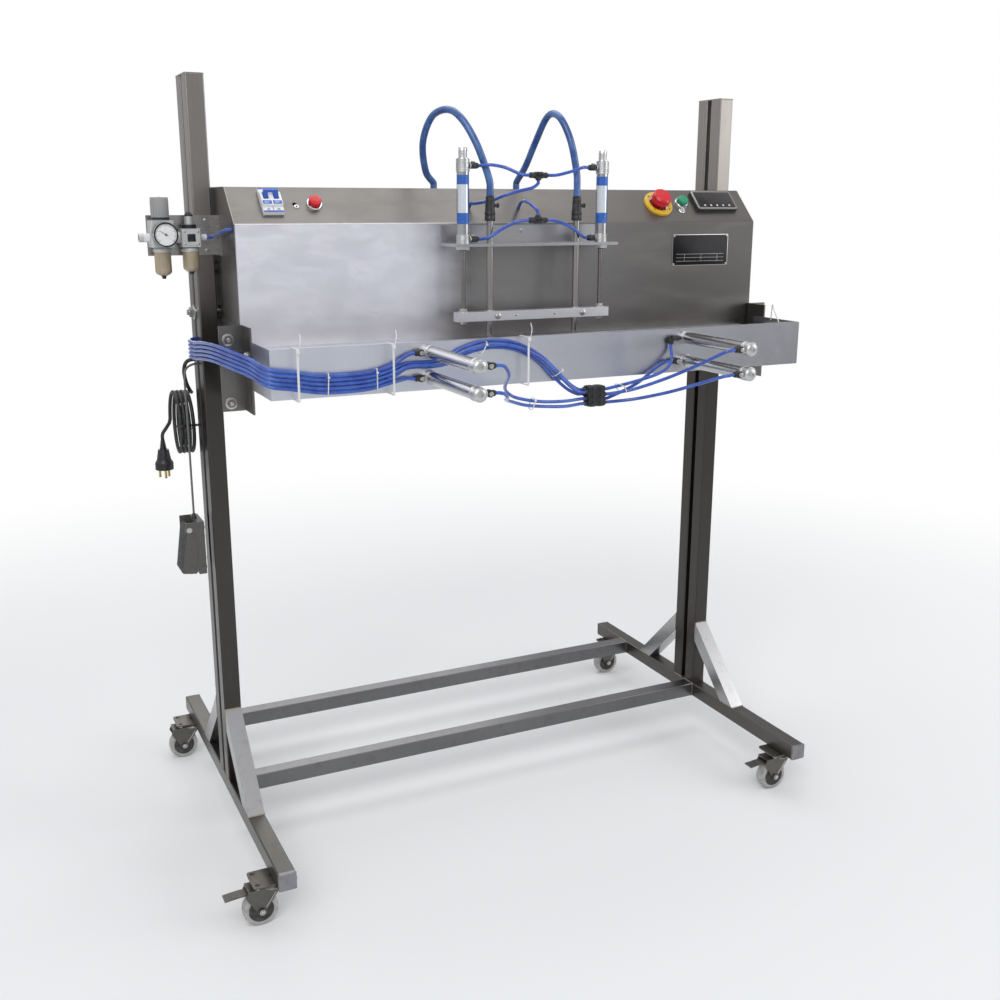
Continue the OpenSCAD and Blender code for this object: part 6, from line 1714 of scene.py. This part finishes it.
class SEALER_OT_air_unit_trim(bpy.types.Operator):
    """Makes the gauge's face, the bowls, the knob's grip and the white fittings of the air unit"""

    bl_idname = "sealer.air_unit_trim"
    bl_label = "Air unit"

    def execute(self, context):
        self.gauge(context.scene.sealer_trim.scale_marks)
        self.bowls()
        self.body()
        self.knob()
        return {"FINISHED"}

    def gauge(self, marks):
        place = facing(REG_X, GAUGE_Y, GAUGE_Z, "-Y")
        piece = bmesh.new()
        join(piece, turned([(0, 19.75), (17.8, 19.75), (17.8, 19.6)], 56), place, 0)
        for i in range(marks):
            a = radians(225 - 270 * i / (marks - 1))
            long = i % 5 == 0
            mark = box((-0.14 - 0.12 * long, 0, 19.7), (0.14 + 0.12 * long, 2.4 + 1.4 * long, 19.86))
            turn = spun(a - pi / 2) @ moved(y=14.4 - 1.4 * long)
            join(piece, mark, place @ turn, 1)
        arc = [on_circle(17.3, radians(225 - 9 * k)) for k in range(31)]
        inner = [on_circle(16.9, radians(-45 + 9 * k)) for k in range(31)]
        join(piece, prism(arc + inner, 19.72, 19.84), place, 1)
        for i in range(7):
            a = radians(225 - 45 * i)
            dot = turned([(0, 19.86), (0.55, 19.86), (0.55, 19.7)], 12)
            join(piece, dot, place @ moved(10.6 * cos(a), 10.6 * sin(a)), 2)
        needle = prism([(-0.7, -4.5), (0.7, -4.5), (0.28, 12.4), (-0.28, 12.4)], 20.4, 20.8, 0.1)
        join(piece, needle, place @ spun(radians(58)), 1)
        join(piece, turned([(0, 21.4), (1.6, 21.3), (2.1, 20.9), (2.1, 19.7)], 24), place, 1)
        finished("gauge_face", piece, "head", ["dial", "ink", "needle red"])
        rim = bmesh.new()
        join(rim, turned([
            (17.6, 19.6), (18.0, 21.2), (18.8, 22.0), (20.0, 21.9), (20.7, 21.0), (20.7, 16.5), (20.45, 15.6),
        ], 64), place, 0)
        join(rim, hex_bolt(12, 4.5), place @ moved(z=-5.5), 1)
        finished("gauge_rim", rim, "head", ["chrome", "brass"])
        lens = bmesh.new()
        join(lens, turned([(0, 21.9), (9, 21.75), (15, 21.3), (17.9, 20.7)], 56), place)
        finished("gauge_glass", lens, "head", ["glass"], 60)

    def bowls(self):
        """Tinted bowls with their collars, rings and drains, and the oiler's sight dome."""
        bowls, trims = bmesh.new(), bmesh.new()
        for x, length in ((REG_X, 48), (OIL_X, 42)):
            place = facing(x, UNIT_Y, REG_Z0, "-Z")
            join(bowls, turned([
                (14.1, 8.2), (14.2, length - 7.0), (13.0, length - 3.4), (9.6, length - 0.8),
                (7.2, length + 0.1),
                (0, length + 0.2),
            ], 48), place)
            join(trims, turned([
                (11.8, 0.1), (14.6, 2.4), (15.1, 3.2), (15.1, 7.4), (14.6, 8.4), (14.0, 8.5),
            ], 48), place, 0)
            for turn in around(10):
                join(trims, box((14.6, -1.2, 3.6), (15.4, 1.2, 7.2), 0.25), place @ turn, 0)
            join(trims, turned([
                (6.0, length - 0.4), (6.2, length + 0.8), (4.0, length + 1.4), (3.2, length + 5.6),
                (2.2, length + 6.2),
                (0, length + 6.2),
            ], 32), place, 1)
        finished("filter_bowls", bowls, "head", ["bowl"], 50)
        place = facing(OIL_X, UNIT_Y, OIL_TOP, "Z")
        join(trims, turned([(11.8, 0.0), (12.1, 0.8), (12.1, 6.4), (11.2, 7.4), (7.4, 7.5)], 40), place, 1)
        for turn in around(12):
            join(trims, box((11.8, -0.7, 1.0), (12.5, 0.7, 6.4), 0.2), place @ turn, 1)
        join(trims, turned([(7.4, 20.8), (7.6, 22.0), (6.2, 24.4), (3.9, 27.5), (0, 27.7)], 32), place, 1)
        finished("bowl_collars", trims, "head", ["unit alloy", "black nylon"])

    def body(self):
        """Screws, joint plates and ports on the two bodies, and the white inlet and outlet fittings."""
        piece = bmesh.new()
        for x, w, top in ((REG_X, 40, REG_TOP), (OIL_X, 34, OIL_TOP)):
            for dx in (-w / 2 + 5.5, w / 2 - 5.5):
                for z in (REG_Z0 + 5, top - 5):
                    if x == REG_X and abs(z - GAUGE_Z) < 19:
                        continue
                    join(piece, pan_screw(2.0), facing(x + dx, UNIT_Y - w / 2, z, "-Y"), None)
            line = prism(arc_outline(w + 0.5, w + 0.5, w * 0.2), -0.5, 0.5, 0.2)
            join(piece, line, facing(x, UNIT_Y, REG_Z0 + 3.2, "Z"), 0)
        join(piece, box((OIL_X - 7, UNIT_Y - 17.5, REG_Z0 + 9), (OIL_X + 7, UNIT_Y - 16.9, REG_Z0 + 22), 0.3),
             IN_ROW, 1)
        join(piece, hex_bolt(16, 3.5), facing(REG_X + 20, UNIT_Y, PORT_Z, "X"), 0)
        join(piece, hex_bolt(16, 3.5), facing(OIL_X - 17, UNIT_Y, PORT_Z, "-X"), 0)
        for x in (-641, -557):
            for z in (1160, 1212):
                join(piece, pan_screw(2.6), facing(x, -43.3, z, "-Y"), None)
        finished("unit_screws", piece, "head", ["bolt zinc", "black gloss"])
        ends = bmesh.new()
        inlet = turned(
            [(4.1, 18.1), (5.6, 18.1), (6.6, 16.6), (6.6, 11.0), (7.7, 10.0), (7.7, 0.6), (7.0, 0.0)], 40,
        )
        join(ends, inlet, facing(REG_X - 20, UNIT_Y, PORT_Z, "-X"), 0)
        join(
            ends, turned([(4.1, 17.4), (5.0, 18.35), (4.1, 18.4)], 40),
            facing(REG_X - 20, UNIT_Y, PORT_Z, "-X"), 1,
        )
        outlet = turned([(3.1, 12.1), (4.4, 12.1), (5.3, 11.2), (5.3, 1.0), (6.6, 0.0)], 36)
        join(ends, outlet, facing(OIL_X + 17, UNIT_Y, PORT_Z, "X"), 0)
        finished("unit_fittings", ends, "head", ["white plastic", "breaker blue"])

    def knob(self):
        """Fluting on the regulator's knob and its black locking ring."""
        place = facing(REG_X, UNIT_Y, REG_TOP, "Z")
        piece = bmesh.new()
        for turn in around(30):
            join(piece, box((14.6, -0.55, 6), (15.35, 0.55, 33), 0.25), place @ turn, 0)
        join(piece, turned([(15.0, 1.0), (15.6, 1.6), (15.6, 4.6), (15.0, 5.2)], 48), place, 1)
        join(
            piece, turned([(15.0, 34.4), (15.2, 36.4), (14.2, 38.1), (11.8, 38.65), (0, 38.7)], 48), place,
            0,
        )
        arrow = [(-1.4, -4), (1.4, -4), (1.4, 3), (3.2, 3), (0, 6.4), (-3.2, 3), (-1.4, 3)]
        join(piece, prism(arrow, 38.6, 38.95, 0.06), place, 1)
        finished("knob_grip", piece, "regulator_knob", ["knob grey", "black nylon"])


TEE_X, TEE_Y, TEE_REACH, BODY_REACH, HIGH_Z = 5, -238, 17, 16, 1100
FITTING_ENDS = [
    *((-270 - BODY_REACH, NOSE_Y, z, "-X") for z in CLAMP_Z),
    *((-246 + BODY_REACH, REAR_Y, z, "X") for z in CLAMP_Z),
    *((246 - BODY_REACH, REAR_Y, z, "-X") for z in CLAMP_Z), (246 - BODY_REACH, NOSE_Y, CLAMP_Z[0], "-X"),
    *((-130 + BODY_REACH, LIFT_Y, z, "X") for z in (1179.5, 1306)),
    *((130 - BODY_REACH, LIFT_Y, z, "-X") for z in (1179.5, 1306)),
    *((TEE_X - TEE_REACH, TEE_Y, z, "-X") for z in (1212, 1291)),
    *((TEE_X + TEE_REACH, TEE_Y, z, "X") for z in (1212, 1291)),
]


class SEALER_OT_fittings(bpy.types.Operator):
    """Makes the release collars, banjo bolts and tees of the push-in fittings, and the manifold's bosses"""

    bl_idname = "sealer.fittings"
    bl_label = "Fittings"

    def execute(self, context):
        piece, bright = bmesh.new(), bmesh.new()
        collar = [(3.1, 0.0), (4.3, 0.1), (5.0, -0.6), (5.25, -1.6), (5.25, -3.4), (4.9, -4.0)]
        for x, y, z, way in FITTING_ENDS:
            join(piece, turned(collar, 32), facing(x, y, z, way), 0)
            join(piece, turned([(3.1, 1.7), (3.9, 1.7), (4.3, 1.2), (4.3, 0.0)], 32), facing(x, y, z, way), 1)
        for x, y, z, way in FITTING_ENDS[:11]:
            back = {"X": -1, "-X": 1}[way]
            banjo = facing(x + back * 8.5, y, z, "Z" if z > HIGH_Z else "-Y")
            join(
                piece, turned([(0, -5.4), (5.6, -5.4), (6.1, -4.6), (6.1, 4.6), (5.6, 5.4), (0, 5.4)], 36),
                banjo, 0,
            )
            join(bright, washer(4.3, 5.7, 2.4, 32, 0.3),
                 facing(x + back * 13.6, y, z, "X" if back > 0 else "-X"))
            out = (0, 5.4, "Z") if z > HIGH_Z else (6, 0, "-Y")
            join(bright, hex_bolt(7, 2.2), facing(x + back * 8.5, y - out[0], z + out[1], out[2]))
        for z, leg in ((1212, 1), (1291, -1)):
            join(piece, box((-3, -5.6, -6), (13, 5.6, 6), 1.8, 3), Matrix.Translation(at(0, TEE_Y, z)), 0)
            join(piece, turned(collar, 32), facing(TEE_X, TEE_Y, z + 9 * leg, "Z" if leg > 0 else "-Z"), 0)
            join(piece, washer(1.6, 2.6, 1.2, 20), facing(1, TEE_Y - 5.4, z, "-Y"), 1)
            join(piece, washer(1.6, 2.6, 1.2, 20), facing(9, TEE_Y - 5.4, z, "-Y"), 1)
        self.manifold(piece)
        finished("fitting_collars", piece, "head", ["black nylon", "black gloss"])
        finished("fitting_bolts", bright, "head", ["bolt zinc"])
        return {"FINISHED"}

    def manifold(self, piece):
        """The union block: rounded bosses where each tube enters, and its two through bolts."""
        for x, way, places in (
            (42, "-X", ((-358, 916), (-358, 908), (-366, 912), (-364, 900), (-364, 891))),
            (76, "X", ((-358, 914), (-358, 896), (-367, 906), (-367, 891))),
        ):
            for y, z in places:
                join(
                    piece, turned([(3.1, 4.2), (3.9, 4.2), (4.5, 3.4), (4.7, 0)], 28), facing(x, y, z, way),
                    0,
                )
        for x in (51, 67):
            join(piece, box((x - 5.6, -373.2, 885.2), (x + 5.6, -352.2, 922.6), 1.5, 3), IN_ROW, 0)
            for z in (892, 904, 916):
                join(
                    piece, turned([(0, 0), (3.3, 0), (3.3, 1.6), (2.2, 2.1), (0, 2.1)], 24),
                    facing(x, -373.0, z, "-Y"), 1,
                )


# ---- ties, foot switch and inner parts


def strap(piece, loop, r=0.55, width=1.5):
    """Flat nylon strap round a closed loop of points in the frame's metres."""
    band = tube(loop, r, cyclic=True, res=2)
    join(piece, band)
    for shift in (-width / 2, width / 2):
        join(piece, tube([p + Vector((shift * MM, 0, 0)) for p in loop], r, cyclic=True, res=2))


class SEALER_OT_ties(bpy.types.Operator):
    """Makes the white ties on the tube bundles and the beam, with their heads and cut tails"""

    bl_idname = "sealer.ties"
    bl_label = "Ties"

    def execute(self, context):
        piece = bmesh.new()
        for x, y, z, half_y, half_z, lean in (
            (-440, -358, 957, 4.0, 18.2, 0.05), (-356, -358, 960, 4.0, 18.2, 0.0),
            (-163, -360, 1002, 9.0, 11.5, 0.5),
            (-18, -361, 951, 9.0, 11.5, 1.0), (112, -368, 915, 17.0, 8.0, -0.5),
            (-88, -401, 906, 8.5, 10.5, 0.3),
        ):
            turn = spun(lean, "Y")
            loop = []
            for i in range(32):
                a = 2 * pi * i / 32
                c, s = cos(a), sin(a)
                point = Vector(
                    (0, copysign(abs(c) ** 0.6, c) * half_y, copysign(abs(s) ** 0.6, s) * half_z)
                )
                loop.append(at(x, y, z) + (turn @ point) * MM)
            strap(piece, loop, 0.45, 1.1)
            head = box((-1.9, -2.6, -1.6), (1.9, 0.2, 1.6), 0.4)
            join(
                piece, head,
                Matrix.Translation(at(x, y - half_y, z) + (turn @ Vector((0, 0, half_z * 0.6))) * MM),
            )
        for x in (-492, -330, -80):
            join(piece, box((x - 2.8, -375.6, 1010.5), (x + 2.8, -371.4, 1016.5), 0.6), IN_ROW)
            tail = [(x, -374, 1013), (x + 2, -376, 1022), (x + 5, -373, 1033), (x + 6, -366, 1041)]
            join(piece, tube(smooth_line(tail, 5), 0.8, [1.0] * 15 + [0.6], res=2))
        wire = [(486, -344, 1017), (481, -336, 1036), (490, -318, 1048), (503, -300, 1040), (508, -292, 1016)]
        join(piece, tube(smooth_line(wire, 8), 1.1, res=3))
        finished("tube_ties", piece, "head", ["tie white"])
        return {"FINISHED"}


PEDAL_AT, PEDAL_TILT = (-604, -8, 560), radians(8)


class SEALER_OT_foot_switch(bpy.types.Operator):
    """Makes the foot switch's ribs, screws, feet and strain relief"""

    bl_idname = "sealer.foot_switch"
    bl_label = "Foot switch"

    def execute(self, context):
        place = Matrix.Translation(at(*PEDAL_AT)) @ spun(radians(90))
        base = bmesh.new()
        for x in (-24, 24):
            for z in (12, 90):
                foot = turned([(0, 0), (4.6, 0), (4.2, 1.4), (0, 1.5)], 28)
                join(base, foot, place @ moved(x, -12, z) @ spun(pi / 2, "X"), 1)
        for x in (-26, 26):
            for z in (30, 72):
                join(base, pan_screw(2.4, 2, 1),
                     place @ moved(x, -12, z) @ spun(pi / 2, "X"))
        for side in (-1, 1):
            boss = turned([(0, 0), (5.6, 0), (5.2, 1.2), (3.4, 1.4), (3.2, 0.8), (0, 0.8)], 32)
            turn = moved(side * 31.9, 16, 88) @ spun(side * pi / 2, "Y")
            join(base, boss, place @ turn, 2)
            for i in range(4):
                rib = box((31.6, -9.5, 14 + 14 * i), (32.5, 0.5, 19 + 14 * i), 0.3)
                if side < 0:
                    bmesh.ops.scale(rib, vec=(-1, 1, 1), verts=rib.verts)
                    bmesh.ops.reverse_faces(rib, faces=rib.faces)
                join(base, rib, place, 0)
        for i in range(4):
            join(base, ring(4.9 - 0.55 * i, 0.6, 28, 8), place @ moved(z=103 + 2.2 * i), 1)
        finished("pedal_details", base, "head", ["switch grey", "black nylon", "bolt zinc"])
        self.treadle(place)
        return {"FINISHED"}

    def treadle(self, place):
        """Grip bars across the treadle, following its tilt, and the skirt that closes it at its sides."""
        tilt = place @ moved(0, 16, 88) @ spun(PEDAL_TILT, "X")
        piece = bmesh.new()
        for i in range(11):
            bar = box((-25, 4.6, -76 + 6.4 * i), (25, 6.0, -73.4 + 6.4 * i), 0.45)
            join(piece, bar, tilt, 0)
        rim = box((-28.6, 4.6, -84), (28.6, 5.8, -80.5), 0.5)
        join(piece, rim, tilt, 0)
        finished("treadle_grip", piece, "pedal_treadle", ["treadle rubber"])
        skirt = bmesh.new()
        side = [(4.6, -7), (-13, -7), (-22, -80), (-20, -84), (4.6, -84)]
        sideways = Matrix(((0, 0, 1, 0), (1, 0, 0, 0), (0, 1, 0, 0), (0, 0, 0, 1)))
        for x in (-33.4, 32.6):
            join(skirt, prism(side, x, x + 0.8, 0.2), tilt @ sideways)
            join(skirt, box((min(x, 28.4), 3.4, -84), (max(x + 0.8, -28.4), 4.6, -20), 0.2), tilt)
        join(skirt, box((-33.0, -13, -84.6), (33.0, 4.6, -83.8), 0.2), tilt)
        finished("treadle_skirt", skirt, "pedal_treadle", ["switch grey"])


class SEALER_OT_inner_parts(bpy.types.Operator):
    """Makes the transformer's windings, the valves' coils and the ejector's muffler inside the head"""

    bl_idname = "sealer.inner_parts"
    bl_label = "Inner parts"

    def execute(self, context):
        floor = 949.5
        coil = bmesh.new()
        for y in (-80 - 49.5, -80 + 49.5):
            for i in range(9):
                turn = prism(arc_outline(61, 18.6, 5), 0, 4.6, 1.2)
                join(coil, turn, Matrix.Translation(at(260, y, floor + 17 + 5.2 * i)), 0)
        for x in (218, 302):
            for y in (-112, -48):
                join(coil, hex_bolt(9, 4.0, 1.0), facing(x, y, floor + 84, "Z"), 1)
        finished("seal_windings", coil, "head", ["copper", "bolt zinc"])
        valves = bmesh.new()
        for i in range(4):
            x = -333 + 22 * i
            join(valves, box((x - 8.5, -118, floor + 58), (x + 8.5, -96, floor + 66), 1.2), IN_ROW, 0)
            for y in (-88, -72):
                join(
                    valves, turned([(0, 0), (5, 0), (5, 3), (3.4, 3.4), (0, 3.4)], 28),
                    facing(x, y, floor + 58, "Z"), 0,
                )
            join(valves, pan_screw(2.0, 1, 1), facing(x, -62, floor + 58, "Z"))
        finished("valve_coils", valves, "head", ["black nylon", "bolt zinc"])
        pump = bmesh.new()
        for i in range(6):
            fin = ring(12.2, 0.8, 36, 6)
            join(pump, fin, facing(34 + 7 * i, -90, floor + 25, "X"), 0)
        for x in (-80, 20):
            for y in (-108, -72):
                join(pump, pan_screw(2.6, 1, 1), facing(x, y, floor + 50, "Z"))
        finished("ejector_muffler", pump, "head", ["unit alloy", "bolt zinc"])
        return {"FINISHED"}


# ---- panel in the sidebar

OPERATORS = (
    SEALER_OT_stage, SEALER_OT_leads, SEALER_OT_finishes, SEALER_OT_air_tubes, SEALER_OT_frame_trim,
    SEALER_OT_casters, SEALER_OT_head_trim, SEALER_OT_panel_trim, SEALER_OT_cylinders, SEALER_OT_nozzles,
    SEALER_OT_jaw_trim, SEALER_OT_air_unit_trim, SEALER_OT_fittings, SEALER_OT_ties, SEALER_OT_foot_switch,
    SEALER_OT_inner_parts,
)


class SEALER_PT_panel(bpy.types.Panel):
    """The machine's steps and settings"""

    bl_idname = "SEALER_PT_panel"
    bl_label = "Bag sealing machine"
    bl_space_type = "VIEW_3D"
    bl_region_type = "UI"
    bl_category = "Sealer"

    def draw(self, context):
        layout = self.layout
        for step in OPERATORS:
            layout.operator(step.bl_idname)
        for group in (context.scene.sealer_stage, context.scene.sealer_tubes, context.scene.sealer_trim):
            box_layout = layout.box()
            for setting in group.bl_rna.properties:
                if not setting.is_readonly and setting.identifier != "name":
                    box_layout.prop(group, setting.identifier)


CLASSES = (SealerStage, SealerTubes, SealerTrim, *OPERATORS, SEALER_PT_panel)


def register():
    for cls in CLASSES:
        bpy.utils.register_class(cls)
    bpy.types.Scene.sealer_stage = PointerProperty(type=SealerStage)
    bpy.types.Scene.sealer_tubes = PointerProperty(type=SealerTubes)
    bpy.types.Scene.sealer_trim = PointerProperty(type=SealerTrim)


def unregister():
    del bpy.types.Scene.sealer_trim
    del bpy.types.Scene.sealer_tubes
    del bpy.types.Scene.sealer_stage
    for cls in reversed(CLASSES):
        bpy.utils.unregister_class(cls)


def main():
    register()
    for step in OPERATORS:
        getattr(bpy.ops.sealer, step.bl_idname.split(".")[1])()


if __name__ == "__main__":
    main()
